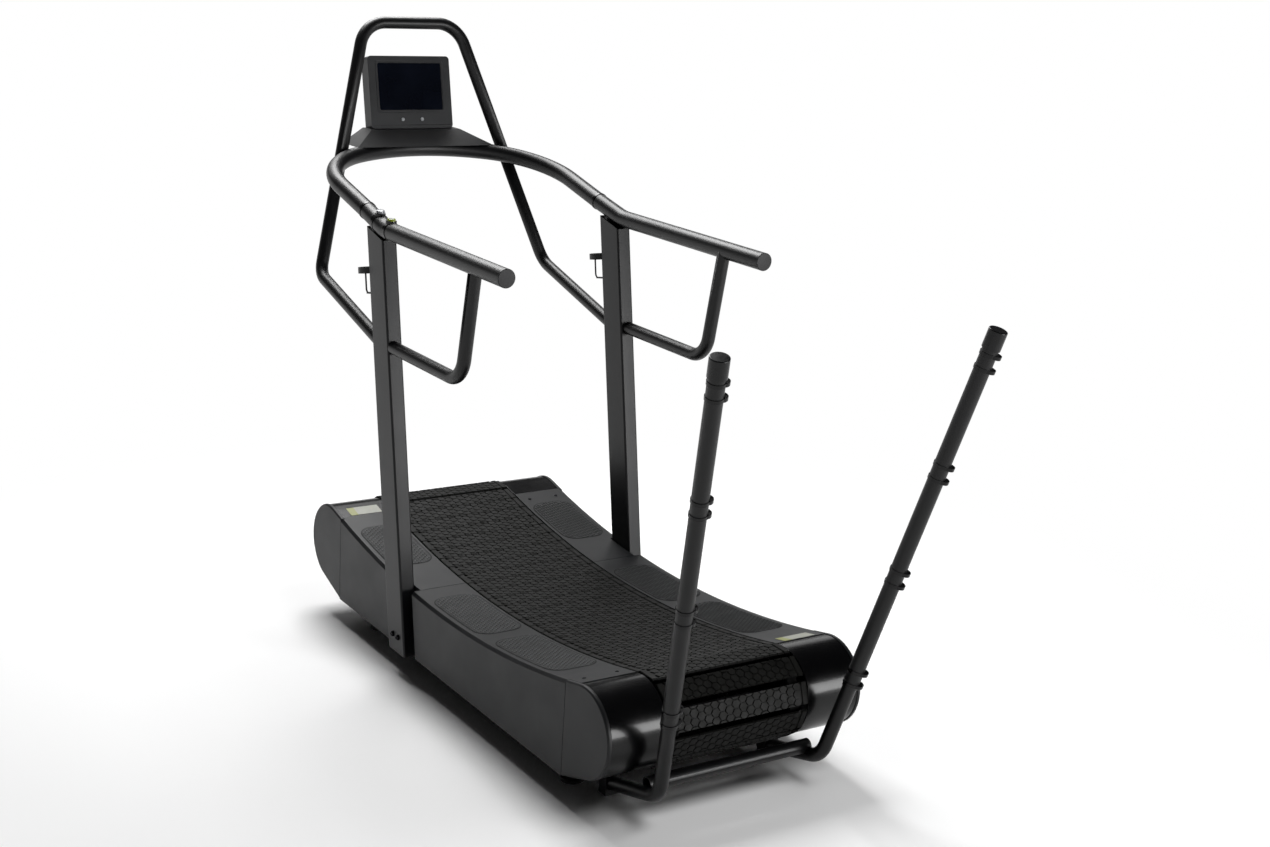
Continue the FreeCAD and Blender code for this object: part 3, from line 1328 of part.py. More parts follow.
# Rear legs, posts, band collars, caps, cross tube and clamp blocks
bands = []
caps = []
clamps = []
leg_solids = []
for side, sign in sides:
    corner = point(post_foot_side, post_foot, post_foot_height, sign)
    along = Vector(sign * tangent(post_side_lean).value, -tangent(post_back_lean).value, 1).normalize()
    leg_low = post_foot_height - (leg_end - post_foot) * tangent(leg_slope)
    toe = point(post_foot_side, leg_end, leg_low, sign)
    wire = route([corner + along * (post_start + leg_insert).value, corner, toe], [leg_bend_radius.value])
    tube("rear_leg_" + side, wire, small_tube, tube_wall)
    leg_solids.append(swept(wire, (small_tube + weld_gap * 2).value))

    length = (post_end - post_start).value
    start = corner + along * post_start.value
    inside = small_tube / 2 + sleeve_gap
    post = Part.makeCylinder(post_tube.value / 2, length, start, along)
    feature("resistance_post_" + side, post.cut(Part.makeCylinder(inside.value, length, start, along)))

    ring_turn = ring_turn_left if sign < 0 else ring_turn_right
    lug_way = Vector(sine(ring_turn).value, -cosine(ring_turn).value, 0)
    lug_way = (lug_way - along * lug_way.dot(along)).normalize()
    sideways = along.cross(lug_way)
    bore_radius = (post_tube / 2 + fit_gap).value
    for index in range(ring_pairs):
        for step in (-0.5, 0.5):
            middle = ring_first + ring_step * index + ring_pitch * step
            start = corner + along * (middle - ring_width / 2).value
            lug_place = start + lug_way * ring_lug_reach.value
            eye_place = start + lug_way * ring_eye_reach.value
            width = ring_width.value
            half = sideways * (ring_lug.value / 2)
            web = Part.Face(Part.makePolygon(
                [start - half, start + half, lug_place + half, lug_place - half, start - half]))
            ring = Part.makeCylinder(ring_diameter.value / 2, width, start, along)
            lug = Part.makeCylinder(ring_lug.value / 2, width, lug_place, along)
            ring = ring.fuse([web.extrude(along * width), lug])
            ring = ring.cut(Part.makeCylinder(bore_radius, width, start, along))
            bands.append(ring.cut(Part.makeCylinder(ring_eye.value / 2, width, eye_place, along)))

    start = corner + along * (post_end + cap_top - cap_length).value
    cap = Part.makeCylinder(cap_diameter.value / 2, cap_length.value, start, along)
    cap = cap.makeFillet(cap_top.value / 2, far_rim(cap, start))
    caps.append(cap.cut(Part.makeCylinder(bore_radius, (cap_length - cap_top).value, start, along)))

    block = Part.makeBox(
        clamp_width.value, clamp_length.value, (plate_low - clamp_floor).value,
        Vector(corner.x - clamp_width.value / 2, (clamp_place - clamp_length / 2).value, clamp_floor.value))
    clamps.append(block.cut(leg_solids[-1]))
feature("band_collars", Part.Compound(bands))
feature("post_caps", Part.Compound(caps))
feature("leg_clamps", Part.Compound(clamps))
cross_wire = Part.Wire(Part.LineSegment(
    point(post_foot_side, cross_tube_place, cross_tube_height, -1),
    point(post_foot_side, cross_tube_place, cross_tube_height)).toShape())
tube("rear_cross_tube", cross_wire, small_tube, tube_wall, leg_solids)

# Check every object, then write each sub-part
doc.recompute()
faults = [item.Name for item in doc.Objects if "Invalid" in item.State or "Error" in item.State]
for item in parts:
    if item.Shape.isNull() or not item.Shape.isValid():
        faults.append(item.Label)
if faults:
    raise RuntimeError("These objects failed: " + ", ".join(faults))
os.makedirs("parts", exist_ok=True)
for item in parts:
    item.Shape.exportStep("parts/%s.step" % item.Label)
box_all = FreeCAD.BoundBox()
for item in parts:
    box_all.add(item.Shape.BoundBox)
print("%d sub-parts" % len(parts), box_all)
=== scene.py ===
import json
import math

import bmesh
import bpy
from mathutils import Matrix, Vector


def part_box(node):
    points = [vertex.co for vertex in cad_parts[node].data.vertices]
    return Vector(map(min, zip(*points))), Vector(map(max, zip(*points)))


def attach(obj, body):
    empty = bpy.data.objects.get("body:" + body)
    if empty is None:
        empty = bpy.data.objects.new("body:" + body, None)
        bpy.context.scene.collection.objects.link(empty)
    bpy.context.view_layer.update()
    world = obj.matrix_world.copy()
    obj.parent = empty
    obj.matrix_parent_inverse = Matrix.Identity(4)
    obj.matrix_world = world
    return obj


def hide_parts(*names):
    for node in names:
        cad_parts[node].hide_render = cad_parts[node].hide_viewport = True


# Looks of a curved manual treadmill. Everything is in metres: X to the runner's right, Y forward, Z up.

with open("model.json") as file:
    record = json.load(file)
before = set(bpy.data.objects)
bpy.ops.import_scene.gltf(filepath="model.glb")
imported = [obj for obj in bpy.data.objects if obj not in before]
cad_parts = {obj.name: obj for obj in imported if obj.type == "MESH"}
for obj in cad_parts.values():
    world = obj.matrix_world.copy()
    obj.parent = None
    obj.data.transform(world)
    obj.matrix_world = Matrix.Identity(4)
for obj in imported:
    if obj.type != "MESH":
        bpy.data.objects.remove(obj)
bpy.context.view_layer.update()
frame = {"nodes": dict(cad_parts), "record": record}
nodes = frame["nodes"]
bodyOf = {}  # node name to the body that it rides on
for bodyName, members in frame["record"]["behaviour"]["bodies"].items():
    for member in members:
        bodyOf[member] = bodyName
slotOf = {entry["node"]: entry["material_slot"] for entry in frame["record"]["subparts"]}
print("frame loaded:", len(nodes), "nodes")


# Node trees

def addNode(tree, kind, feeds=None, **settings):
    # a feed is a plain value, a socket, or a node whose first output is meant
    node = tree.nodes.new(kind)
    for name, value in settings.items():
        setattr(node, name, value)
    for socket, value in (feeds or {}).items():
        if isinstance(value, bpy.types.Node):
            value = value.outputs[0]
        if isinstance(value, bpy.types.NodeSocket):
            tree.links.new(value, node.inputs[socket])
        else:
            node.inputs[socket].default_value = value
    return node


def startTree(name, inputs):
    tree = bpy.data.node_groups.new(name, "GeometryNodeTree")
    tree.interface.new_socket("Geometry", in_out="INPUT", socket_type="NodeSocketGeometry")
    for label, kind in inputs:
        tree.interface.new_socket(label, in_out="INPUT", socket_type="NodeSocket" + kind)
    tree.interface.new_socket("Geometry", in_out="OUTPUT", socket_type="NodeSocketGeometry")
    return tree, addNode(tree, "NodeGroupInput").outputs


def endTree(tree, geometry, material):
    real = addNode(tree, "GeometryNodeRealizeInstances", {"Geometry": geometry})
    painted = addNode(tree, "GeometryNodeSetMaterial", {"Geometry": real, "Material": material})
    addNode(tree, "NodeGroupOutput", {"Geometry": painted})


def runTree(piece, tree, values):
    modifier = piece.modifiers.new(tree.name, "NODES")
    modifier.node_group = tree
    for item in tree.interface.items_tree:
        if item.in_out == "INPUT" and item.name in values:
            modifier[item.identifier] = values[item.name]
    return bakeModifiers(piece)


def bakeModifiers(piece):
    graph = bpy.context.evaluated_depsgraph_get()
    mesh = bpy.data.meshes.new_from_object(piece.evaluated_get(graph), depsgraph=graph)
    piece.modifiers.clear()
    piece.data = mesh
    return piece


# Materials

def colour(hexText):
    channels = [int(hexText[i:i + 2], 16) / 255 for i in (1, 3, 5)]
    linear = [c / 12.92 if c <= 0.04045 else ((c + 0.055) / 1.055) ** 2.4 for c in channels]
    return (*linear, 1.0)


def startMaterial(name, roughness, metallic=0.0, specular=0.5, coat=0.0):
    made = bpy.data.materials.new(name)
    made.use_nodes = True
    shader = made.node_tree.nodes["Principled BSDF"]
    shader.inputs["Roughness"].default_value = roughness
    shader.inputs["Metallic"].default_value = metallic
    shader.inputs["Specular IOR Level"].default_value = specular
    shader.inputs["Coat Weight"].default_value = coat
    shader.inputs["Coat Roughness"].default_value = 0.05
    return made, made.node_tree, shader


def mottle(tree, shader, dark, light, patchMm, detail=3.0):
    # two close colours in soft patches, so that a large face is never one flat tone
    place = addNode(tree, "ShaderNodeTexCoord").outputs["Object"]
    noise = addNode(tree, "ShaderNodeTexNoise", {"Vector": place, "Scale": 1000 / patchMm, "Detail": detail})
    ramp = addNode(tree, "ShaderNodeMapRange", {"Value": noise, "From Min": 0.3, "From Max": 0.7})
    mix = addNode(tree, "ShaderNodeMix", {
        0: ramp, 6: colour(dark), 7: colour(light)}, data_type="RGBA")
    tree.links.new(mix.outputs[2], shader.inputs["Base Color"])
    return place, ramp


def grain(tree, shader, place, grainMm, depthMm, detail=2.0):
    noise = addNode(tree, "ShaderNodeTexNoise", {"Vector": place, "Scale": 1000 / grainMm, "Detail": detail})
    bump = addNode(tree, "ShaderNodeBump", {
        "Height": noise, "Distance": depthMm / 1000, "Strength": 1.0})
    tree.links.new(bump.outputs[0], shader.inputs["Normal"])


def roughSpread(tree, shader, value, low, high):
    spread = addNode(tree, "ShaderNodeMapRange", {"Value": value, "To Min": low, "To Max": high})
    tree.links.new(spread.outputs[0], shader.inputs["Roughness"])


def powderCoat(name, dark, light, roughness, specular):
    # powder coat, sprayed and baked: one even colour, a soft sheen and very faint orange peel, whose
    # 2 mm waves are drawn 7 mm wide so that they show as a slow ripple in the highlight
    patchMm, peelMm, peelDepthMm = 60, 7.0, 0.002
    made, tree, shader = startMaterial(name, roughness, specular=specular)
    place, patch = mottle(tree, shader, dark, light, patchMm, 1.0)
    grain(tree, shader, place, peelMm, peelDepthMm)
    roughSpread(tree, shader, patch, roughness - 0.01, roughness + 0.01)
    return made


def mouldedPlastic(name, dark, light, roughness, grainMm, depthMm, specular=0.5, coat=0.0):
    # injection moulded against a spark-eroded or polished tool, whose grain sets how far the shine spreads:
    # a grain of 0.1 to 0.3 mm, drawn 1 to 3 mm wide so that it shows at all
    patchMm = 90
    made, tree, shader = startMaterial(name, roughness, specular=specular, coat=coat)
    place, patch = mottle(tree, shader, dark, light, patchMm)
    grain(tree, shader, place, grainMm, depthMm)
    roughSpread(tree, shader, patch, roughness - 0.03, roughness + 0.04)
    return made


def mouldedRubber(name, dark, light, roughness, grainMm, depthMm, specular=0.3):
    # vulcanised rubber, compression moulded: dull and a little dusty, with a pebbled skin, whose pebbles
    # of about 0.5 mm are drawn 2 to 4 mm wide so that they show
    patchMm = 25
    made, tree, shader = startMaterial(name, roughness, specular=specular)
    place, patch = mottle(tree, shader, dark, light, patchMm)
    grain(tree, shader, place, grainMm, depthMm, 4.0)
    roughSpread(tree, shader, patch, roughness - 0.08, roughness + 0.06)
    return made


def machinedMetal(name, dark, light, roughness, lineMm):
    # turned or ground metal: fine rings, seen as streaks round the part, 0.1 mm apart on the real one
    # and drawn 0.6 mm apart or more so that they show
    streak = 30.0  # times longer than wide
    made, tree, shader = startMaterial(name, roughness, metallic=1.0)
    place = addNode(tree, "ShaderNodeTexCoord").outputs["Object"]
    stretched = addNode(tree, "ShaderNodeMapping", {"Vector": place, "Scale": (streak, 1.0, 1.0)})
    noise = addNode(tree, "ShaderNodeTexNoise", {
        "Vector": stretched, "Scale": 1000 / lineMm / streak, "Detail": 2.0})
    mix = addNode(tree, "ShaderNodeMix", {
        0: noise, 6: colour(dark), 7: colour(light)}, data_type="RGBA")
    tree.links.new(mix.outputs[2], shader.inputs["Base Color"])
    roughSpread(tree, shader, noise, roughness - 0.08, roughness + 0.08)
    return made


def blankFilm(name, dark, light, strip, middleMm, stripMm):
    # self-adhesive vinyl film, printed one flat colour with a yellow end strip and no words
    fadeMm = 16.7
    made, tree, shader = startMaterial(name, 0.42, specular=0.4)
    place = addNode(tree, "ShaderNodeTexCoord").outputs["Object"]
    parts = addNode(tree, "ShaderNodeSeparateXYZ", {0: place})
    side = addNode(tree, "ShaderNodeMath", {0: parts}, operation="SIGN")
    middle = addNode(tree, "ShaderNodeMath", {0: side, 1: middleMm / 1000}, operation="MULTIPLY")
    across = addNode(tree, "ShaderNodeMath", {0: parts, 1: middle}, operation="SUBTRACT")
    ended = addNode(tree, "ShaderNodeMath", {0: across, 1: -stripMm / 1000}, operation="LESS_THAN")
    noise = addNode(tree, "ShaderNodeTexNoise", {"Vector": place, "Scale": 1000 / fadeMm, "Detail": 4.0})
    dull = addNode(tree, "ShaderNodeMix", {0: noise, 6: colour(dark), 7: colour(light)}, data_type="RGBA")
    mix = addNode(tree, "ShaderNodeMix", {
        0: ended, 6: dull.outputs[2], 7: colour(strip)}, data_type="RGBA")
    tree.links.new(mix.outputs[2], shader.inputs["Base Color"])
    return made


paints = {
    # semi-gloss black powder coat on bent steel tube: near black, with one long soft highlight
    "tube_paint": powderCoat("semiGlossPowderCoatedTube", "#060607", "#09090b", 0.4, 0.34),
    # satin graphite powder coat on rectangular tube: takes the pale floor's blue-grey sheen at a glance
    "upright_paint": powderCoat("satinPowderCoatedBoxTube", "#0a0a0c", "#0e0f11", 0.36, 0.24),
    # the same powder on welded plate, thinner and duller inside the deck
    "frame_paint": powderCoat("dullPowderCoatedPlate", "#0c0c0d", "#111113", 0.48, 0.22),
    # spark-grained ABS covers: even dark grey with a wide dull sheen
    "cover_plastic": mouldedPlastic(
        "sparkGrainedAbs", "#101113", "#141517", 0.46, 3.0, 0.008, specular=0.29),
    # polished ABS end covers: black, with wide clear reflections over the 12 mm waves of a thin moulding
    "gloss_cover": mouldedPlastic(
        "polishedBlackAbs", "#020203", "#040405", 0.23, 12.0, 0.004, specular=0.22, coat=0.1),
    # fine-grained ABS housing of the display: dark grey, dull enough to hide scratches
    "console_plastic": mouldedPlastic(
        "fineGrainedBlackAbs", "#18191b", "#1f2022", 0.42, 2.0, 0.006, specular=0.34),
    # the same plastic with a deeper grain on the plinth under the display: duller and darker
    "plinth_plastic": mouldedPlastic(
        "deepGrainedBlackAbs", "#0c0c0d", "#101012", 0.6, 2.0, 0.01, specular=0.16),
    # glass-filled nylon collars: black with a hard narrow shine
    "collar_plastic": mouldedPlastic(
        "mouldedBlackNylon", "#040405", "#08080a", 0.26, 1.4, 0.008, specular=0.28),
    # polyethylene tube plugs: dark grey and waxy
    "plug_plastic": mouldedPlastic(
        "mouldedPolyethylene", "#121214", "#18181a", 0.45, 1.6, 0.01, specular=0.24),
    # turned nylon of the guide rollers and wheel hubs: mid grey with a soft shine
    "roller_nylon": mouldedPlastic("turnedGreyNylon", "#3c3c3e", "#4a4a4c", 0.4, 1.0, 0.02),
    # printed vinyl labels, left blank: flat pale grey-green with a dull yellow end
    "label_film": blankFilm("blankVinylFilm", "#83847a", "#9c9d92", "#84864a", middleMm=303.0, stripMm=28.0),
    # acrylic window over an unlit screen: black with a blue cast, quite flat
    "screen_glass": mouldedPlastic(
        "darkAcrylicWindow", "#080b13", "#0b0f1a", 0.1, 40.0, 0.0, specular=0.16),
    # painted buttons, satin and pale
    "button_pale": mouldedPlastic("paintedPaleButton", "#8d9094", "#a2a5a8", 0.35, 1.5, 0.005),
    # moulded-through colours of the two hand controls, even and slightly shiny
    "button_yellow": mouldedPlastic("mouldedYellowGreenAbs", "#8c9a2a", "#a5b240", 0.3, 1.5, 0.005),
    "button_grey": mouldedPlastic("mouldedPaleGreyAbs", "#74767c", "#888a90", 0.3, 1.5, 0.005),
    # tread rubber: brown-black, dusty on top of the blocks
    "slat_rubber": mouldedRubber(
        "vulcanisedTreadRubber", "#0a0a09", "#11110f", 0.6, 3.0, 0.02, specular=0.15),
    # extruded rubber of the drive belts, also on the near-black sheets under the pads: black and dull
    "belt_rubber": mouldedRubber("extrudedBeltRubber", "#060606", "#0a0a0a", 0.6, 2.0, 0.03, specular=0.15),
    # grip rubber: matt grey ribs, a lighter grey than the same rubber between them, as painted light
    "pad_rubber": mouldedRubber("ribbedGripRubber", "#2b2c2c", "#373838", 0.55, 3.0, 0.02),
    # the same rubber between the ribs, painted darker as painted shade
    "pad_base": mouldedRubber("flatGripRubber", "#17181a", "#1e1f20", 0.62, 3.0, 0.02),
    # hard rubber of the feet: dull charcoal, the most pebbled
    "foot_rubber": mouldedRubber("mouldedFootRubber", "#101010", "#181818", 0.6, 2.0, 0.05),
    # cast polyurethane tyres: charcoal, a little smoother than rubber
    "wheel_rubber": mouldedRubber("castPolyurethaneTyre", "#121213", "#1a1a1c", 0.5, 2.0, 0.03),
    # vinyl dipped onto the posts' caps: thick, smooth and shiny
    "cap_rubber": mouldedRubber("dippedVinyl", "#070708", "#0c0c0e", 0.3, 4.0, 0.01, specular=0.3),
    # ground steel shaft ends and zinc-plated threads: bright and cool grey
    "bare_steel": machinedMetal("groundSteel", "#8e8e90", "#aaaaac", 0.3, 0.6),
    # black oxide on steel screws: bronze-black, half dull
    "screw_steel": machinedMetal("blackOxideSteel", "#161618", "#242427", 0.4, 0.6),
    # hard-anodised aluminium pulleys, turned before: charcoal, with fine rings
    "pulley_alloy": machinedMetal("hardAnodisedAluminium", "#1b1b1d", "#28282b", 0.42, 0.8),
}
print("materials made:", len(paints))


# Pieces

edgePlan = {
    "mergeReach": 0.00001,
    "flatAngle": 0.2,  # degrees, under which neighbouring faces are one
    "sharpAngle": 32,  # degrees, over which an edge is rounded and stays sharp in the shading
    "steps": 2,
}


def dress(piece, node):
    piece.data.materials.clear()
    piece.data.materials.append(paints[slotOf[node]])
    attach(piece, bodyOf[node])
    return piece


def addPiece(name, mesh):
    piece = bpy.data.objects.new(name, mesh)
    bpy.context.scene.collection.objects.link(piece)
    return piece


def joined(name, works):
    # one or several bmesh shapes as one mesh object
    mesh = bpy.data.meshes.new(name)
    total = bmesh.new()
    for work in works:
        part = bpy.data.meshes.new("part")
        work.to_mesh(part)
        work.free()
        total.from_mesh(part)
        bpy.data.meshes.remove(part)
    total.to_mesh(mesh)
    total.free()
    return addPiece(name, mesh)


def shadeByAngle(mesh, degrees=edgePlan["sharpAngle"]):
    mesh.shade_smooth()
    mesh.set_sharp_from_angle(angle=math.radians(degrees))


def evenNormals(piece):
    # large faces keep their own flat shade, and only the rounded edges between them blend
    modifier = piece.modifiers.new("evenNormals", "WEIGHTED_NORMAL")
    modifier.keep_sharp = True
    modifier.weight = 100
    bakeModifiers(piece)


def mergedCopy(node):
    work = bmesh.new()
    work.from_mesh(nodes[node].data)
    bmesh.ops.remove_doubles(work, verts=work.verts, dist=edgePlan["mergeReach"])
    return work


def softened(node, edgeMm):
    # a CAD solid's own shape, merged, with its hard edges rounded as paint or a mould rounds them
    work = mergedCopy(node)
    if edgeMm:
        flat = math.radians(edgePlan["flatAngle"])
        bmesh.ops.dissolve_limit(work, angle_limit=flat, verts=work.verts, edges=work.edges)
    piece = joined(camel(node), [work])
    if edgeMm:
        bevel = piece.modifiers.new("edges", "BEVEL")
        bevel.width = edgeMm / 1000
        bevel.segments = edgePlan["steps"]
        bevel.limit_method = "ANGLE"
        bevel.angle_limit = math.radians(edgePlan["sharpAngle"])
        bakeModifiers(piece)
    shadeByAngle(piece.data)
    if edgeMm:
        evenNormals(piece)
    dress(piece, node)
    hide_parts(node)
    return piece


def camel(node):
    first, *rest = node.split("_")
    return first + "".join(word.capitalize() for word in rest)


def islands(node):
    # centre, lowest and highest corner of each separate solid of a node
    work = mergedCopy(node)
    seen = set()
    found = []
    for start in work.verts:
        if start in seen:
            continue
        stack = [start]
        seen.add(start)
        cluster = []
        while stack:
            vert = stack.pop()
            cluster.append(vert.co.copy())
            for edge in vert.link_edges:
                other = edge.other_vert(vert)
                if other not in seen:
                    seen.add(other)
                    stack.append(other)
        low = Vector(min(co[i] for co in cluster) for i in range(3))
        high = Vector(max(co[i] for co in cluster) for i in range(3))
        found.append(((low + high) / 2, low, high))
    work.free()
    return found


def lathe(profile, segments, place=Matrix(), hexRings=()):
    # a closed (radius, height) outline turned about Z, some of its rings six-sided, then set in place
    work = bmesh.new()
    rings = []
    for number, (radius, height) in enumerate(profile):
        if radius == 0:
            rings.append([work.verts.new((0, 0, height))])
            continue
        ring = []
        for step in range(segments):
            turn = math.tau * step / segments
            reach = radius
            if number in hexRings:
                reach *= math.cos(math.pi / 6) / math.cos(turn % (math.pi / 3) - math.pi / 6)
            ring.append(work.verts.new((reach * math.cos(turn), reach * math.sin(turn), height)))
        rings.append(ring)
    closed = profile[0][0] != 0
    pairs = list(zip(rings, rings[1:])) + ([(rings[-1], rings[0])] if closed else [])
    for lower, upper in pairs:
        for step in range(segments):
            following = (step + 1) % segments
            corners = [lower[step % len(lower)], lower[following % len(lower)],
                       upper[following % len(upper)], upper[step % len(upper)]]
            unique = list(dict.fromkeys(corners))
            if len(unique) > 2:
                work.faces.new(unique)
    bmesh.ops.recalc_face_normals(work, faces=work.faces)
    work.transform(place)
    return work


def pointCloud(name, places, **attributes):
    mesh = bpy.data.meshes.new(name)
    mesh.from_pydata([tuple(place) for place in places], [], [])
    for key, values in attributes.items():
        kind = "FLOAT_VECTOR" if hasattr(values[0], "__len__") else "FLOAT"
        attribute = mesh.attributes.new(key, kind, "POINT")
        flat = [c for value in values for c in value] if kind == "FLOAT_VECTOR" else values
        attribute.data.foreach_set("vector" if kind == "FLOAT_VECTOR" else "value", flat)
    return addPiece(name, mesh)


# Slat belt: rubber slats with six-sided tread blocks, cut straight along the slats' edges

beltPlan = {
    "slats": 60,
    "runRadius": 3.202,  # concave running surface
    "slatReach": 0.122,  # shaft centre to the running surface
    "pitchReach": 0.098,  # shaft centre to the belt's pitch line
    "slatGap": 0.0030,
    "edgeHeight": 0.0060,
    "slatDepth": 0.0190,
    "footWidth": 0.0240,
    "blockRise": 0.0026,  # blocks above the slat's web
    "blockDepth": 0.0060,
    "shoulder": 0.0070,  # sloping strip between the web and each long edge
    "columns": 18,
    "rowPoints": 4,
    "rowShare": 2.6,  # block rows on one slat
    "blockShare": 0.92,
    "crownShare": 0.84,
    "smoothEnd": 0.018,  # bare strip at each end of a slat
    "endGap": 0.001,
    "endEdge": 0.0012,
    "weld": 0.0002,  # joins the corners of cut blocks that fell together
}


def shaftPlace(node):
    low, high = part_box(node)
    return (low.y + high.y) / 2, (low.z + high.z) / 2


def beltFrames(plan):
    rearY, drumZ = shaftPlace("rear_shaft")
    frontY, drumZ = shaftPlace("front_shaft")
    halfSpan = (frontY - rearY) / 2
    middleY = (frontY + rearY) / 2
    reachRadius = plan["runRadius"] + plan["slatReach"]
    centreZ = drumZ + math.sqrt(reachRadius ** 2 - halfSpan ** 2)
    wrap = math.pi / 2 + math.asin(halfSpan / reachRadius)
    arcRadius = reachRadius - plan["pitchReach"]
    arcAngle = 2 * (wrap - math.pi / 2)
    reach = plan["pitchReach"]
    lengths = [wrap * reach, arcAngle * arcRadius, (wrap + math.pi / 2) * reach, 2 * halfSpan,
               math.pi / 2 * reach]
    pitch = sum(lengths) / plan["slats"]
    frames = []
    for index in range(plan["slats"]):
        travel = (index + 0.5) * pitch
        stretch = 0
        while travel > lengths[stretch]:
            travel -= lengths[stretch]
            stretch += 1
        if stretch == 1:
            tilt = travel / arcRadius - arcAngle / 2
            place = (middleY + arcRadius * math.sin(tilt), centreZ - arcRadius * math.cos(tilt))
        elif stretch == 3:
            tilt = math.pi
            place = (frontY - travel, drumZ - reach)
        else:
            tilt = {0: math.pi / 2, 2: wrap - math.pi / 2, 4: math.pi}[stretch] - travel / reach
            axle = frontY if stretch == 2 else rearY
            place = (axle - reach * math.sin(tilt), drumZ + reach * math.cos(tilt))
        frames.append((place, tilt))
    return frames, pitch, Vector((0, middleY, centreZ))


def slatShape(plan, pitch):
    low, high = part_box("slat_belt")
    half = (high.x - low.x) / 2
    side = pitch / 2 - plan["slatGap"] / 2
    crown = plan["slatReach"] - plan["pitchReach"]
    web = side - plan["shoulder"]
    top = crown - plan["blockRise"]
    foot = plan["footWidth"] / 2
    edge, floor = crown - plan["edgeHeight"], crown - plan["slatDepth"]
    outline = [(-web, top), (web, top), (side, edge), (foot, floor), (-foot, floor), (-side, edge)]
    work = bmesh.new()
    left = [work.verts.new((-half, y, z)) for y, z in outline]
    right = [work.verts.new((half, y, z)) for y, z in outline]
    work.faces.new(left)
    work.faces.new(right[::-1])
    for index in range(len(outline)):
        following = (index + 1) % len(outline)
        work.faces.new([left[index], right[index], right[following], left[following]])
    for sign in (-1, 1):
        # smooth end pads, level with the blocks
        size = (plan["smoothEnd"] - plan["endGap"], 2 * side, plan["edgeHeight"])
        place = Matrix.Translation((sign * (half - size[0] / 2), 0, crown - size[2] / 2))
        made = bmesh.ops.create_cube(work, size=1.0, matrix=place @ Matrix.Diagonal((*size, 1)))
        around = list({line for vert in made["verts"] for line in vert.link_edges})
        bmesh.ops.bevel(work, geom=around, offset=plan["endEdge"], segments=2, affect="EDGES")
    bmesh.ops.recalc_face_normals(work, faces=work.faces)
    return joined("slatCore", [work])


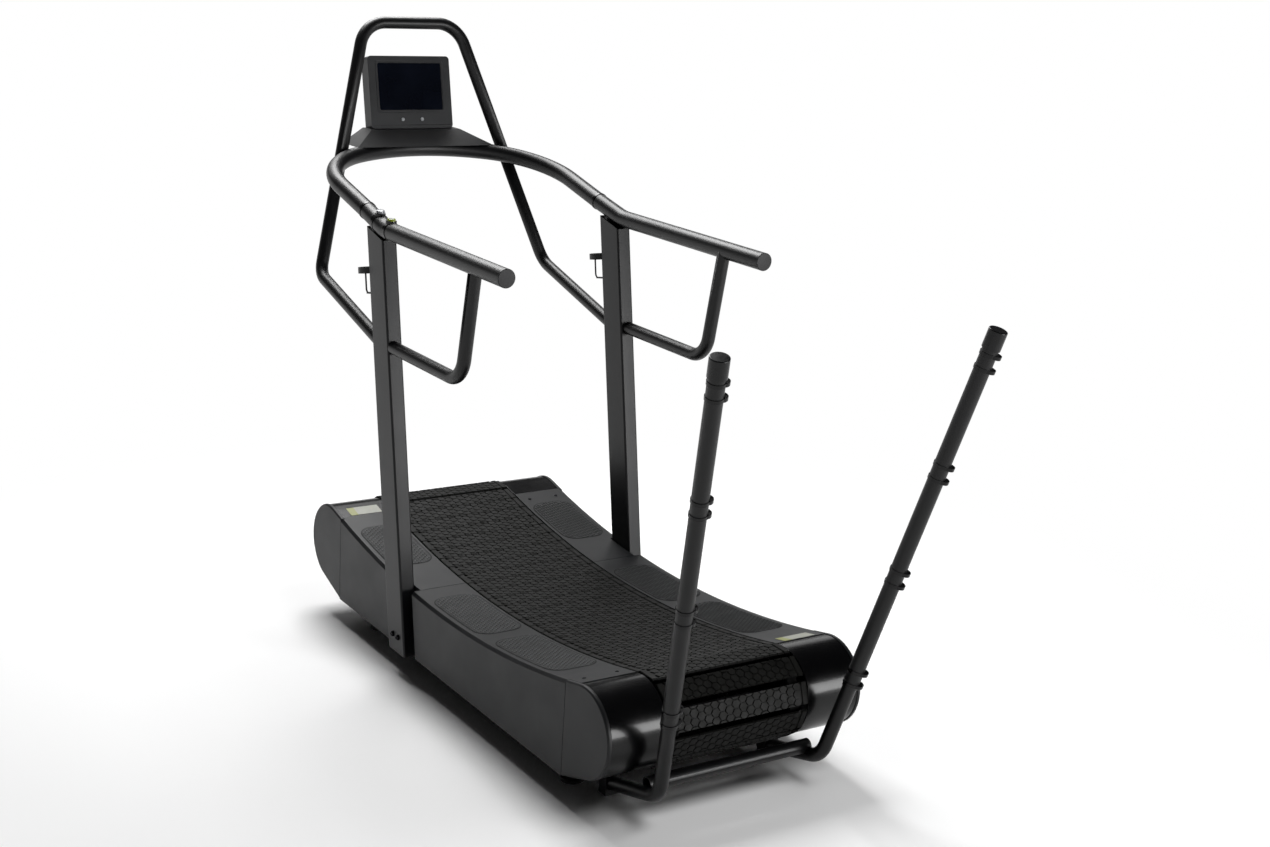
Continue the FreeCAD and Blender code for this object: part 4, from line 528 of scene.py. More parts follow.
def treadTree():
    tree, given = startTree("treadBelt", [
        ("Slat", "Object"), ("Width", "Float"), ("Half Depth", "Float"), ("Columns", "Int"),
        ("Row Points", "Int"), ("Row Pitch", "Float"), ("Block Share", "Float"), ("Crown Share", "Float"),
        ("Block Depth", "Float"), ("Crown", "Float"), ("Weld", "Float"), ("Material", "Material")])
    # columns of six-sided blocks, 1.5 radii apart, each second column half a row further along
    columns = addNode(tree, "ShaderNodeMath", {0: given["Columns"], 1: 1 / 3}, operation="ADD")
    pitchX = addNode(tree, "ShaderNodeMath", {0: given["Width"], 1: columns}, operation="DIVIDE")
    steps = addNode(tree, "ShaderNodeMath", {0: given["Columns"], 1: 1.0}, operation="SUBTRACT")
    spanX = addNode(tree, "ShaderNodeMath", {0: pitchX, 1: steps}, operation="MULTIPLY")
    rows = addNode(tree, "ShaderNodeMath", {0: given["Row Points"], 1: 1.0}, operation="SUBTRACT")
    spanY = addNode(tree, "ShaderNodeMath", {0: given["Row Pitch"], 1: rows}, operation="MULTIPLY")
    grid = addNode(tree, "GeometryNodeMeshGrid", {
        "Size X": spanX, "Size Y": spanY, "Vertices X": given["Columns"],
        "Vertices Y": given["Row Points"]})
    index = addNode(tree, "GeometryNodeInputIndex")
    column = addNode(tree, "ShaderNodeMath", {0: index, 1: given["Row Points"]}, operation="DIVIDE")
    column = addNode(tree, "ShaderNodeMath", {0: column}, operation="FLOOR")
    odd = addNode(tree, "ShaderNodeMath", {0: column, 1: 2.0}, operation="MODULO")
    half = addNode(tree, "ShaderNodeMath", {0: given["Row Pitch"], 1: 0.5}, operation="MULTIPLY")
    slide = addNode(tree, "ShaderNodeMath", {0: odd, 1: half}, operation="MULTIPLY")
    foot = addNode(tree, "ShaderNodeMath", {
        0: given["Crown"], 1: given["Block Depth"]}, operation="SUBTRACT")
    offset = addNode(tree, "ShaderNodeCombineXYZ", {1: slide, 2: foot})
    grid = addNode(tree, "GeometryNodeSetPosition", {"Geometry": grid, "Offset": offset})
    place = addNode(tree, "GeometryNodeInputPosition")
    parts = addNode(tree, "ShaderNodeSeparateXYZ", {0: place})
    away = addNode(tree, "ShaderNodeMath", {0: parts.outputs[1]}, operation="ABSOLUTE")
    limit = addNode(tree, "ShaderNodeMath", {0: given["Half Depth"], 1: half}, operation="ADD")
    outside = addNode(tree, "ShaderNodeMath", {
        0: away, 1: limit}, operation="GREATER_THAN")
    grid = addNode(tree, "GeometryNodeDeleteGeometry", {
        "Geometry": grid, "Selection": outside})
    reach = addNode(tree, "ShaderNodeMath", {0: pitchX, 1: 1.5}, operation="DIVIDE")
    radius = addNode(tree, "ShaderNodeMath", {0: reach, 1: given["Block Share"]}, operation="MULTIPLY")
    crown = addNode(tree, "ShaderNodeMath", {0: reach, 1: given["Crown Share"]}, operation="MULTIPLY")
    block = addNode(tree, "GeometryNodeMeshCone", {
        "Vertices": 6, "Radius Top": crown, "Radius Bottom": radius,
        "Depth": given["Block Depth"]}, fill_type="NGON")
    flats = addNode(tree, "ShaderNodeMath", {0: reach, 1: math.sqrt(3)}, operation="MULTIPLY")
    stretch = addNode(tree, "ShaderNodeMath", {0: given["Row Pitch"], 1: flats}, operation="DIVIDE")
    shape = addNode(tree, "ShaderNodeCombineXYZ", {0: 1.0, 1: stretch, 2: 1.0})
    block = addNode(tree, "GeometryNodeTransform", {"Geometry": block, "Scale": shape})
    blocks = addNode(tree, "GeometryNodeInstanceOnPoints", {
        "Points": grid, "Instance": block})
    blocks = addNode(tree, "GeometryNodeRealizeInstances", {"Geometry": blocks})
    # cut at the slat's long edges, by moving what stands over them back to the edge
    low = addNode(tree, "ShaderNodeMath", {0: given["Half Depth"], 1: -1.0}, operation="MULTIPLY")
    kept = addNode(tree, "ShaderNodeMath", {
        0: parts.outputs[1], 1: given["Half Depth"]}, operation="MINIMUM")
    kept = addNode(tree, "ShaderNodeMath", {0: kept, 1: low}, operation="MAXIMUM")
    cut = addNode(tree, "ShaderNodeCombineXYZ", {
        0: parts, 1: kept, 2: parts.outputs[2]})
    blocks = addNode(tree, "GeometryNodeSetPosition", {"Geometry": blocks, "Position": cut})
    blocks = addNode(tree, "GeometryNodeMergeByDistance", {"Geometry": blocks, "Distance": given["Weld"]})
    core = addNode(tree, "GeometryNodeObjectInfo", {"Object": given["Slat"]})
    slat = addNode(tree, "GeometryNodeJoinGeometry", {"Geometry": core.outputs["Geometry"]})
    tree.links.new(blocks.outputs[0], slat.inputs[0])
    tilt = addNode(tree, "GeometryNodeInputNamedAttribute", {"Name": "tilt"}, data_type="FLOAT")
    turn = addNode(tree, "ShaderNodeCombineXYZ", {0: tilt})
    belt = addNode(tree, "GeometryNodeInstanceOnPoints", {
        "Points": given["Geometry"], "Instance": slat, "Rotation": turn})
    endTree(tree, belt, given["Material"])
    return tree


frames, slatPitch, runCentre = beltFrames(beltPlan)
core = slatShape(beltPlan, slatPitch)
belt = pointCloud("slatBelt", [(0, y, z) for (y, z), tilt in frames], tilt=[tilt for place, tilt in frames])
beltLow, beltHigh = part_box("slat_belt")
halfDepth = slatPitch / 2 - beltPlan["slatGap"] / 2
runTree(belt, treadTree(), {
    "Slat": core,
    "Width": beltHigh.x - beltLow.x - 2 * beltPlan["smoothEnd"],
    "Half Depth": halfDepth,
    "Columns": beltPlan["columns"],
    "Row Points": beltPlan["rowPoints"],
    "Row Pitch": 2 * halfDepth / beltPlan["rowShare"],
    "Block Share": beltPlan["blockShare"],
    "Crown Share": beltPlan["crownShare"],
    "Block Depth": beltPlan["blockDepth"],
    "Crown": beltPlan["slatReach"] - beltPlan["pitchReach"],
    "Weld": beltPlan["weld"],
    "Material": paints["slat_rubber"],
})
bpy.data.objects.remove(core)
shadeByAngle(belt.data, degrees=25)
dress(belt, "slat_belt")
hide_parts("slat_belt")
print("slat belt:", len(belt.data.polygons), "faces, pitch", round(slatPitch * 1000, 2), "mm")

# Grip pads: crowned rubber pads with slanting ribs, the ribs painted lighter and the rubber between them
# darker as painted light and shade, on near-black sheets a little larger than the pads, which show as a dark
# line round each

padPlan = {
    "corner": 0.046,
    "seatRise": 0.0004,
    "padRise": 0.0011,
    "padInset": 0.0036,  # dark line round each pad
    "padThickness": 0.0012,
    "seatThickness": 0.0005,
    "rows": 40,
    "columns": 14,
    "ribPitchAcross": 0.0088,
    "ribPitchAlong": 0.0150,
    "ribLength": 0.0150,
    "ribWidth": 0.0044,
    "ribRise": 0.0018,
    "ribCrown": 0.36,  # of the length and width, 0.5 being as wide as the foot
    "ribSink": 0.0002,
    "ribMargin": 0.0075,
    "ribTurn": 33,  # degrees off the running direction, mirrored on the two sides
}


def onRun(x, y, rise):
    # a point on the concave running surface, raised along the surface's own normal
    tilt = math.asin((y - runCentre.y) / beltPlan["runRadius"])
    reach = beltPlan["runRadius"] - rise
    return Vector((x, runCentre.y + reach * math.sin(tilt), runCentre.z - reach * math.cos(tilt))), tilt


def padHalfWidth(half, corner, away):
    # half width of a rounded rectangle at a distance along it from its middle
    over = max(0.0, away - (half.y - corner))
    return half.x - corner + math.sqrt(max(0.0, corner ** 2 - over ** 2))


def padSheet(work, middle, half, corner, plan, rise, thickness):
    # closed plate that follows the running surface: a top grid, a bottom grid and a wall between them
    sheets = []
    for level in (rise, rise - thickness):
        rows = []
        for i in range(plan["rows"] + 1):
            away = -half.y * math.cos(math.pi * i / plan["rows"])
            width = padHalfWidth(half, corner, abs(away))
            row = []
            for j in range(plan["columns"] + 1):
                across = -width * math.cos(math.pi * j / plan["columns"])
                place, tilt = onRun(middle.x + across, middle.y + away, level)
                row.append(work.verts.new(place))
            rows.append(row)
        sheets.append(rows)
    top, bottom = sheets
    for rows, flip in ((top, 1), (bottom, -1)):
        for lower, upper in zip(rows, rows[1:]):
            for a, b, c, d in zip(lower, lower[1:], upper[1:], upper):
                work.faces.new((a, b, c, d)[::flip])
    rims = []
    for rows in (top, bottom):
        far, near = [row[-1] for row in rows[1:-1]], [row[0] for row in rows[-2:0:-1]]
        rims.append(rows[0] + far + rows[-1][::-1] + near)
    for k in range(len(rims[0])):
        after = (k + 1) % len(rims[0])
        work.faces.new((rims[0][k], rims[1][k], rims[1][after], rims[0][after]))


def padPiece(name, inset, rise, thickness):
    work = bmesh.new()
    for middle, low, high in islands("grip_pads"):
        half = Vector(((high.x - low.x) / 2 - inset, (high.y - low.y) / 2 - inset))
        padSheet(work, middle, half, padPlan["corner"] - inset, padPlan, rise, thickness)
    bmesh.ops.recalc_face_normals(work, faces=work.faces)
    piece = joined(name, [work])
    shadeByAngle(piece.data, degrees=40)
    dress(piece, "grip_pads")
    return piece


def stampTree(name):
    # one small shape stamped on every point, turned as the point says
    tree, given = startTree(name, [("Stamp", "Object"), ("Material", "Material")])
    turn = addNode(tree, "GeometryNodeInputNamedAttribute", {"Name": "turn"}, data_type="FLOAT_VECTOR")
    stamp = addNode(tree, "GeometryNodeObjectInfo", {"Object": given["Stamp"]})
    stamped = addNode(tree, "GeometryNodeInstanceOnPoints", {
        "Points": given["Geometry"], "Instance": stamp.outputs["Geometry"], "Rotation": turn})
    endTree(tree, stamped, given["Material"])
    return tree


def ribTree():
    tree, given = startTree("gripRibs", [
        ("Rib Length", "Float"), ("Rib Width", "Float"), ("Rib Rise", "Float"), ("Rib Crown", "Float"),
        ("Material", "Material")])
    # a low six-sided bar with pointed ends and a narrower crown
    bar = addNode(tree, "GeometryNodeMeshCone", {
        "Vertices": 6, "Radius Top": given["Rib Crown"], "Radius Bottom": 0.5, "Depth": 1.0},
        fill_type="NGON")
    size = addNode(tree, "ShaderNodeCombineXYZ", {
        0: given["Rib Length"], 1: given["Rib Width"], 2: given["Rib Rise"]})
    bar = addNode(tree, "GeometryNodeTransform", {"Geometry": bar, "Scale": size})
    turn = addNode(tree, "GeometryNodeInputNamedAttribute", {"Name": "turn"}, data_type="FLOAT_VECTOR")
    ribs = addNode(tree, "GeometryNodeInstanceOnPoints", {
        "Points": given["Geometry"], "Instance": bar, "Rotation": turn})
    endTree(tree, ribs, given["Material"])
    return tree


ribPlaces = []
ribTurns = []
for middle, low, high in islands("grip_pads"):
    half = (high - low) / 2
    margin = padPlan["ribMargin"]
    inner = Vector((half.x - margin, half.y - margin))
    countY = int(inner.y / padPlan["ribPitchAlong"]) + 1
    countX = int(inner.x / padPlan["ribPitchAcross"]) + 1
    for i in range(-countY, countY + 1):
        for j in range(-countX, countX + 1):
            away = i * padPlan["ribPitchAlong"] + (padPlan["ribPitchAlong"] / 2 if j % 2 else 0)
            across = j * padPlan["ribPitchAcross"]
            reach = padHalfWidth(inner, padPlan["corner"] - margin, abs(away))
            if abs(away) > inner.y or abs(across) > reach:
                continue
            place, tilt = onRun(middle.x + across, middle.y + away, padPlan["padRise"] - padPlan["ribSink"])
            side = 1 if middle.x > 0 else -1
            yaw = math.radians(90 + side * padPlan["ribTurn"])
            ribPlaces.append(place)
            ribTurns.append((Matrix.Rotation(tilt, 3, "X") @ Matrix.Rotation(yaw, 3, "Z")).to_euler())
ribs = pointCloud("gripRibs", ribPlaces, turn=ribTurns)
# the ribs take the lighter copy of the grip rubber, painted light
runTree(ribs, ribTree(), {
    "Rib Length": padPlan["ribLength"], "Rib Width": padPlan["ribWidth"], "Rib Rise": padPlan["ribRise"],
    "Rib Crown": padPlan["ribCrown"], "Material": paints["pad_rubber"]})
shadeByAngle(ribs.data, degrees=25)
dress(ribs, "grip_pads")
pads = padPiece("gripPads", padPlan["padInset"], padPlan["padRise"], padPlan["padThickness"])
# the pads' body between the ribs takes the darker copy of the grip rubber, its colour painted shade
pads.data.materials[0] = paints["pad_base"]
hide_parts("grip_pads")
# a near-black sheet under each pad, at the pad's full outline, shows as a dark line round the smaller pad
darkSheets = padPiece("gripPadSeats", 0.0, padPlan["seatRise"], padPlan["seatThickness"])
darkSheets.data.materials[0] = paints["belt_rubber"]
print("grip pads:", len(ribPlaces), "ribs")

# Screws and bolts: domed heads with a six-sided socket

screwPlan = {
    "heads": {
        "cover_screws": {"radius": 0.0055, "height": 0.0024, "socket": 0.0022, "depth": 0.0014},
        "upright_bolts": {"radius": 0.0085, "height": 0.0060, "socket": 0.0045, "depth": 0.0035},
    },
    "dome": [(1.0, 0.35), (0.93, 0.72), (0.72, 0.94)],  # shares of a head's radius and height
    "mouth": 1.25,  # of the socket's radius, at its bevelled edge
    "bevel": 0.0002,
    "sunk": 0.001,  # into what the screw holds
}


def screwHead(name, head):
    radius, height, socket = head["radius"], head["height"], head["socket"]
    floor = height - head["depth"]
    outline = [(0, -screwPlan["sunk"]), (radius, -screwPlan["sunk"])]
    outline += [(radius * across, height * up) for across, up in screwPlan["dome"]]
    outline += [(socket * screwPlan["mouth"], height), (socket, height - screwPlan["bevel"])]
    outline += [(socket, floor), (0, floor)]
    return joined(name, [lathe(outline, 24, hexRings=(6, 7))])


stamps = stampTree("screwHeads")
for node, plan in screwPlan["heads"].items():
    places = []
    turns = []
    for middle, low, high in islands(node):
        if node == "cover_screws":
            normal = (runCentre - Vector((0, middle.y, middle.z))).normalized()
        else:
            normal = Vector((1 if middle.x > 0 else -1, 0, 0))
        places.append(middle - normal * plan["height"] / 2)
        turns.append(normal.to_track_quat("Z", "Y").to_euler())
    head = screwHead(node + "Head", plan)
    piece = pointCloud(camel(node), places, turn=turns)
    runTree(piece, stamps, {"Stamp": head, "Material": paints["screw_steel"]})
    bpy.data.objects.remove(head)
    shadeByAngle(piece.data, degrees=30)
    dress(piece, node)
    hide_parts(node)
print("screws and bolts set")

# Levelling feet: rubber pad, lock nut and threaded stem

footPlan = {
    "pad": [(0, 0), (0.0300, 0), (0.0320, 0.0020), (0.0320, 0.0075), (0.0300, 0.0105), (0.0170, 0.0142),
            (0.0135, 0.0180), (0, 0.0180)],
    "nutRadius": 0.0127,
    "nutBase": 0.0180,
    "nutTop": 0.0285,
    "nutFace": 0.94,  # round face inside the bevel, of the nut's radius
    "nutBevel": 0.0009,
    "stemRadius": 0.0070,
    "threadPitch": 0.0022,
    "threadDepth": 0.0009,
    "threadTurn": [(False, 0), (True, 0.35), (True, 0.5), (False, 0.85)],  # on the crest, share of the pitch
    "threadTop": 0.0620,
}


def turnedPiece(name, works, node, paint, hides=False):
    piece = joined(name, works)
    shadeByAngle(piece.data)
    dress(piece, node)
    piece.data.materials[0] = paints[paint]
    if hides:
        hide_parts(node)
    return piece


def footStem(plan, top, place):
    radius, root = plan["stemRadius"], plan["stemRadius"] - plan["threadDepth"]
    low, height = plan["nutBase"], plan["nutTop"]
    wide, face, bevel = plan["nutRadius"], plan["nutRadius"] * plan["nutFace"], plan["nutBevel"]
    nut = [(radius, low), (face, low), (wide, low + bevel), (wide, height - bevel), (face, height),
           (radius, height)]
    outline = [(0, low), (root, low)]
    while height < plan["threadTop"]:
        outline += [(radius if crest else root, height + plan["threadPitch"] * share)
                    for crest, share in plan["threadTurn"]]
        height += plan["threadPitch"]
    outline += [(root, height), (radius, height), (radius, top), (0, top)]
    return [lathe(outline, 20, place), lathe(nut, 24, place, hexRings=(1, 2, 3, 4))]


for node in [name for name in nodes if name.startswith("levelling_foot")]:
    low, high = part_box(node)
    place = Matrix.Translation(((low.x + high.x) / 2, (low.y + high.y) / 2, low.z))
    turnedPiece(camel(node), [lathe(footPlan["pad"], 48, place)], node, "foot_rubber", hides=True)
    turnedPiece(camel(node) + "Stem", footStem(footPlan, high.z - low.z, place), node, "bare_steel")

# Transport wheels and the belt's guide rollers

wheelPlan = {
    "tyre": [(0.0240, -0.0120), (0.0330, -0.0120), (0.0352, -0.0098), (0.0360, -0.0060), (0.0360, 0.0060),
             (0.0352, 0.0098), (0.0330, 0.0120), (0.0240, 0.0120)],
    "hub": [(0.0062, -0.0120), (0.0108, -0.0120), (0.0115, -0.0092), (0.0195, -0.0080), (0.0222, -0.0112),
            (0.0239, -0.0112), (0.0239, 0.0112), (0.0222, 0.0112), (0.0195, 0.0080), (0.0115, 0.0092),
            (0.0108, 0.0120), (0.0062, 0.0120)],
    "roller": [(0.0052, -0.0070), (0.0080, -0.0070), (0.0088, -0.0062), (0.0132, -0.0062), (0.0140, -0.0070),
               (0.0150, -0.0060), (0.0150, 0.0060), (0.0140, 0.0070), (0.0132, 0.0062), (0.0088, 0.0062),
               (0.0080, 0.0070), (0.0052, 0.0070)],
}
sideways = Matrix.Rotation(math.pi / 2, 4, "Y")
for node in ("transport_wheel_left", "transport_wheel_right"):
    low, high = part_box(node)
    place = Matrix.Translation((low + high) / 2) @ sideways
    turnedPiece(camel(node), [lathe(wheelPlan["tyre"], 56, place)], node, "wheel_rubber", hides=True)
    turnedPiece(camel(node) + "Hub", [lathe(wheelPlan["hub"], 40, place)], node, "roller_nylon")
rollerStamp = joined("rollerStamp", [lathe(wheelPlan["roller"], 24, sideways)])
rollerPlaces = [middle for middle, low, high in islands("guide_rollers")]
rollers = pointCloud("guideRollers", rollerPlaces, turn=[(0.0, 0.0, 0.0)] * len(rollerPlaces))
runTree(rollers, stamps, {"Stamp": rollerStamp, "Material": paints["roller_nylon"]})
bpy.data.objects.remove(rollerStamp)
shadeByAngle(rollers.data)
dress(rollers, "guide_rollers")
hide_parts("guide_rollers")
print("feet, wheels and rollers:", len(rollerPlaces), "rollers")

# Hand controls on the left handrail

controlPlan = {
    "ring": [(0, -0.0050), (0.0120, -0.0050), (0.0120, 0.0026), (0.0114, 0.0040), (0.0100, 0.0044),
             (0.0090, 0.0036), (0.0088, 0.0020), (0, 0.0020)],
    "cap": [(0, 0.0015), (0.0084, 0.0015), (0.0084, 0.0036), (0.0076, 0.0045), (0.0040, 0.0050),
            (0, 0.0050)],
    "slope": 13.2,  # degrees, the handrail under the grey control
}
for node, tilt, paint in (("remote_button_yellow", 0.0, "button_yellow"),
                          ("remote_button_grey", controlPlan["slope"], "button_grey")):
    middle, low, high = islands(node)[0]
    place = Matrix.Translation(middle) @ Matrix.Rotation(math.radians(tilt), 4, "X")
    turnedPiece(camel(node), [lathe(controlPlan["ring"], 40, place)], node, paint, hides=True)
    cap = turnedPiece(camel(node) + "Cap", [lathe(controlPlan["cap"], 40, place)], node, paint)
    cap.data.materials[0] = paints["button_pale"]

# Display: a raised frame round the window, a seam below it and louvres on the back

displayPlan = {
    "tilt": 12.0,  # degrees forward
    "depth": 0.046,
    "behind": 0.0025,  # window's middle behind the housing's face
    "windowWidth": 0.222,
    "windowHeight": 0.148,
    "frameLoops": [  # past the window's width and height, corner radius, height over the face
        (0.0150, 0.0100, -0.0010), (0.0150, 0.0100, 0.00048), (0.0134, 0.0092, 0.0012),
        (0.0012, 0.0050, 0.0012), (-0.0022, 0.0040, -0.0006), (-0.0022, 0.0040, -0.0010)],
    "seamDrop": 0.121,  # window's middle to the seam
    "seamSize": (0.274, 0.0012, 0.0006),
    "louvres": 14,
    "louvrePitch": 0.0062,
    "louvreSize": (0.150, 0.0026, 0.0012),
    "louvreEdge": 0.0005,
}


def roundedLoop(width, height, corner, rise, steps=6):
    loop = []
    for quarter, (sx, sy) in enumerate(((1, 1), (-1, 1), (-1, -1), (1, -1))):
        for step in range(steps + 1):
            turn = math.pi / 2 * (quarter + step / steps)
            loop.append(Vector((sx * (width / 2 - corner) + corner * math.cos(turn),
                                sy * (height / 2 - corner) + corner * math.sin(turn), rise)))
    return loop


def strip(loops, place):
    # a closed band through several loops of equal length, the last joined to the first
    work = bmesh.new()
    rings = [[work.verts.new(place @ point) for point in loop] for loop in loops]
    for lower, upper in zip(rings, rings[1:] + rings[:1]):
        for k in range(len(lower)):
            after = (k + 1) % len(lower)
            work.faces.new((lower[k], lower[after], upper[after], upper[k]))
    bmesh.ops.recalc_face_normals(work, faces=work.faces)
    return work


def bar(size, place, edge=0.0):
    work = bmesh.new()
    bmesh.ops.create_cube(work, size=1.0, matrix=Matrix.Diagonal((*size, 1)))
    if edge:
        bmesh.ops.bevel(work, geom=list(work.edges), offset=edge, segments=2, affect="EDGES")
    work.transform(place)
    return work


window = islands("console_screen")[0][0]
lean = math.radians(displayPlan["tilt"])
# X across, Y up the face, Z out of the face towards the runner
face = Matrix.Translation(window) @ Matrix.Rotation(math.pi / 2 - lean, 4, "X")
face = face @ Matrix.Translation((0, 0, displayPlan["behind"]))
wide, tall = displayPlan["windowWidth"], displayPlan["windowHeight"]
windowFrame = strip([roundedLoop(wide + past, tall + past, corner, rise)
                     for past, corner, rise in displayPlan["frameLoops"]], face)
turnedPiece("displayFrame", [windowFrame], "console_housing", "console_plastic")
seamPlace = face @ Matrix.Translation((0, -displayPlan["seamDrop"], 0))
turnedPiece("displaySeam", [bar(displayPlan["seamSize"], seamPlace)], "console_housing", "collar_plastic")
backPlace = face @ Matrix.Translation((0, 0, -displayPlan["depth"]))
louvreStamp = joined("louvreStamp", [bar(displayPlan["louvreSize"], Matrix(), displayPlan["louvreEdge"])])
louvreRows = [backPlace @ Vector((0, (k - displayPlan["louvres"] / 2) * displayPlan["louvrePitch"], 0))
              for k in range(displayPlan["louvres"])]
louvres = pointCloud("displayLouvres", louvreRows, turn=[(math.pi / 2 - lean, 0.0, 0.0)] * len(louvreRows))
runTree(louvres, stamps, {"Stamp": louvreStamp, "Material": paints["console_plastic"]})
bpy.data.objects.remove(louvreStamp)
shadeByAngle(louvres.data)
dress(louvres, "console_housing")
print("display dressed")

# Bodywork and tubes: the CAD shapes with rounded edges

edges = {
    "side_cover_rear_left": 1.2, "side_cover_rear_right": 1.2, "side_cover_front_left": 1.2,
    "side_cover_front_right": 1.2, "end_panels": 1.4, "end_covers": 0.8, "console_base": 2.5,
    "console_housing": 1.2, "console_screen": 0.5, "upright_left": 0.0, "upright_right": 0.0,
    "cross_members": 1.0, "outriggers": 1.0, "side_frame_left": 1.0, "side_frame_right": 1.0,
    "wheel_brackets": 0.8, "leg_clamps": 2.0, "label_plates": 0.2, "band_collars": 0.6,
    "post_caps": 0.0, "rail_collars": 0.5, "rail_end_plugs": 0.0, "remote_straps": 0.5,
    "console_button_left": 0.6, "console_button_right": 0.6, "handrail_left": 0.0, "handrail_right": 0.0,
    "front_rail": 0.0, "lower_rail_left": 0.0, "lower_rail_right": 0.0, "front_hoop": 0.0,
    "rear_leg_left": 0.0, "rear_leg_right": 0.0, "resistance_post_left": 0.0, "resistance_post_right": 0.0,
    "rear_cross_tube": 0.0, "bottle_cage_left": 0.0, "bottle_cage_right": 0.0, "drive_belts": 0.0,
    "front_pulleys": 0.6, "rear_pulleys": 0.6, "front_shaft": 0.8, "rear_shaft": 0.8, "shaft_bearings": 0.6,
}
for node, edgeMm in edges.items():
    piece = softened(node, edgeMm)
    if node == "console_base":
        piece.data.materials[0] = paints["plinth_plastic"]
for node, carried in nodes.items():
    carried.data.materials.clear()
    carried.data.materials.append(paints[slotOf[node]])
print("bodywork dressed:", len(edges))

# Floor, lamps and world

studio = {
    "floorSize": 60.0,
    "nearRadius": 1.3,  # inside it the floor is lit and shaded, outside it turns plain white
    "farRadius": 2.6,
    "floorTone": 0.95,
    "worldStrength": 0.03,  # for the soft light from all round
    "sweepFoot": 0.02,  # rise of a sight line over which the white sweep turns to the dark room
    "sweepTop": 0.13,
    "roomStrength": 0.05,
}


def clearSight(tree):
    # 1 for what the camera, gloss or glass sees directly, 0 for the light that falls on the object
    path = addNode(tree, "ShaderNodeLightPath")
    seen = addNode(tree, "ShaderNodeMath", {
        0: path.outputs["Is Camera Ray"], 1: path.outputs["Is Glossy Ray"]}, operation="MAXIMUM")
    seen = addNode(tree, "ShaderNodeMath", {
        0: seen, 1: path.outputs["Is Transmission Ray"]}, operation="MAXIMUM")
    return path, seen


floorMesh = bpy.data.meshes.new("studioFloor")
half = studio["floorSize"] / 2
corners = [(-half, -half, 0), (half, -half, 0), (half, half, 0), (-half, half, 0)]
floorMesh.from_pydata(corners, [], [(0, 1, 2, 3)])
floor = addPiece("studioFloor", floorMesh)
floorPaint = bpy.data.materials.new("studioWhite")
floorPaint.use_nodes = True
tree = floorPaint.node_tree
tree.nodes.clear()
place = addNode(tree, "ShaderNodeTexCoord").outputs["Object"]
away = addNode(tree, "ShaderNodeVectorMath", {0: place}, operation="LENGTH")
fade = addNode(tree, "ShaderNodeMapRange", {
    "Value": away.outputs["Value"], "From Min": studio["nearRadius"], "From Max": studio["farRadius"]},
    interpolation_type="SMOOTHSTEP")
tone = studio["floorTone"]
lit = addNode(tree, "ShaderNodeBsdfDiffuse", {"Color": (tone, tone, tone, 1)})
plain = addNode(tree, "ShaderNodeEmission", {"Color": (1, 1, 1, 1), "Strength": 1.0})
path, seen = clearSight(tree)
share = addNode(tree, "ShaderNodeMath", {0: fade, 1: seen}, operation="MULTIPLY")
mixed = addNode(tree, "ShaderNodeMixShader", {0: share, 1: lit, 2: plain})
addNode(tree, "ShaderNodeOutputMaterial", {"Surface": mixed})
floorMesh.materials.append(floorPaint)

world = bpy.data.worlds.new("studioWorld")
bpy.context.scene.world = world
world.use_nodes = True
tree = world.node_tree
tree.nodes.clear()
soft = addNode(tree, "ShaderNodeBackground", {"Color": (1, 1, 1, 1), "Strength": studio["worldStrength"]})
white = addNode(tree, "ShaderNodeBackground", {"Color": (1, 1, 1, 1), "Strength": 1.0})
room = addNode(tree, "ShaderNodeBackground", {"Color": (1, 1, 1, 1), "Strength": studio["roomStrength"]})
path, seen = clearSight(tree)
sight = addNode(tree, "ShaderNodeTexCoord").outputs["Generated"]
parts = addNode(tree, "ShaderNodeSeparateXYZ", {0: sight})
above = addNode(tree, "ShaderNodeMapRange", {
    "Value": parts.outputs[2], "From Min": studio["sweepFoot"], "From Max": studio["sweepTop"]},
    interpolation_type="SMOOTHSTEP")
notCamera = addNode(tree, "ShaderNodeMath", {0: 1.0, 1: path.outputs["Is Camera Ray"]}, operation="SUBTRACT")
dark = addNode(tree, "ShaderNodeMath", {0: above, 1: notCamera}, operation="MULTIPLY")
sweep = addNode(tree, "ShaderNodeMixShader", {0: dark, 1: white, 2: room})
mixed = addNode(tree, "ShaderNodeMixShader", {0: seen, 1: soft, 2: sweep})
addNode(tree, "ShaderNodeOutputWorld", {"Surface": mixed})

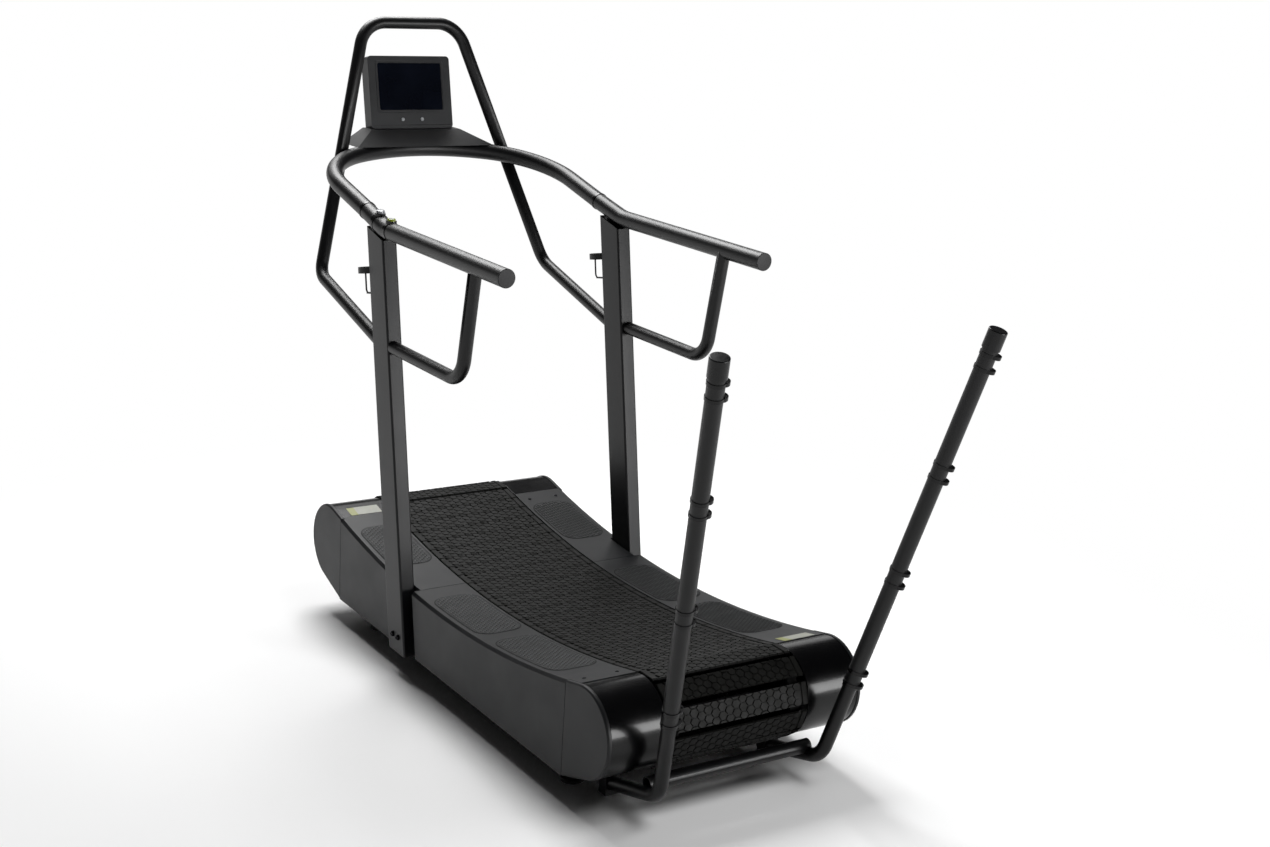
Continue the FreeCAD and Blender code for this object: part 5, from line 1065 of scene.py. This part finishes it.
# the fill and the lamp at the rear right light floor and belt but stay out of the gloss, and the low
# box behind is there for the gloss of the end covers alone
lamps = {
    "key": {"place": (0.4, 2.8, 4.3), "aim": (0, 0, 0.3), "size": (2.4, 2.4), "watts": 250},
    "fill": {"place": (0.9, -2.8, 4.2), "aim": (0.3, -0.6, 0), "size": (2.4, 2.4), "watts": 105,
             "gloss": False},
    "frontStrip": {"place": (0.5, 5.2, 3.4), "aim": (0, 0, 1.0), "size": (3.6, 1.3), "watts": 26},
    "frontRight": {"place": (4.2, 4.2, 2.6), "aim": (0, 0, 0.6), "size": (2.0, 2.0), "watts": 17},
    "rearRight": {"place": (3.6, -3.6, 2.6), "aim": (0, 0, 0.4), "size": (2.0, 2.0), "watts": 45,
                  "gloss": False},
    "rearBox": {"place": (2.5, -4.8, 0.95), "aim": (0, -0.8, 0.3), "size": (2.4, 1.6), "watts": 165,
                "diffuse": False},
}
for name, plan in lamps.items():
    lamp = bpy.data.lights.new(name, "AREA")
    lamp.shape = "RECTANGLE"
    lamp.size, lamp.size_y = plan["size"]
    lamp.energy = plan["watts"]
    holder = bpy.data.objects.new(name, lamp)
    holder.location = plan["place"]
    sight = Vector(plan["aim"]) - Vector(plan["place"])
    holder.rotation_euler = sight.to_track_quat("-Z", "Y").to_euler()
    holder.visible_diffuse = plan.get("diffuse", True)
    holder.visible_glossy = plan.get("gloss", True)
    bpy.context.scene.collection.objects.link(holder)

# Camera at the photograph's place

shot = {
    "place": (-2.6735, -4.2341, 2.2059),
    "yaw": -33.971,
    "elevation": 15.612,
    "roll": 3.560,
    "focal": 1850.0,  # in pixels, on an image 1270 wide
    "width": 1270.0,
    "sensor": 36.0,
}
turn, rise, roll = (math.radians(shot[key]) for key in ("yaw", "elevation", "roll"))
back = Vector((math.sin(turn) * math.cos(rise), -math.cos(turn) * math.cos(rise), math.sin(rise)))
level = Vector((math.cos(turn), math.sin(turn), 0))
plumb = back.cross(level)
rightAxis = math.cos(roll) * level + math.sin(roll) * plumb
upAxis = -math.sin(roll) * level + math.cos(roll) * plumb
lens = bpy.data.cameras.new("photoCamera")
lens.sensor_width = shot["sensor"]
lens.lens = shot["sensor"] * shot["focal"] / shot["width"]
lens.clip_end = 200
camera = bpy.data.objects.new("photoCamera", lens)
turned = Matrix((rightAxis, upAxis, back)).transposed().to_4x4()
camera.matrix_world = Matrix.Translation(shot["place"]) @ turned
bpy.context.scene.collection.objects.link(camera)
bpy.context.scene.camera = camera

bpy.context.scene.view_settings.view_transform = "Standard"
print("studio ready")
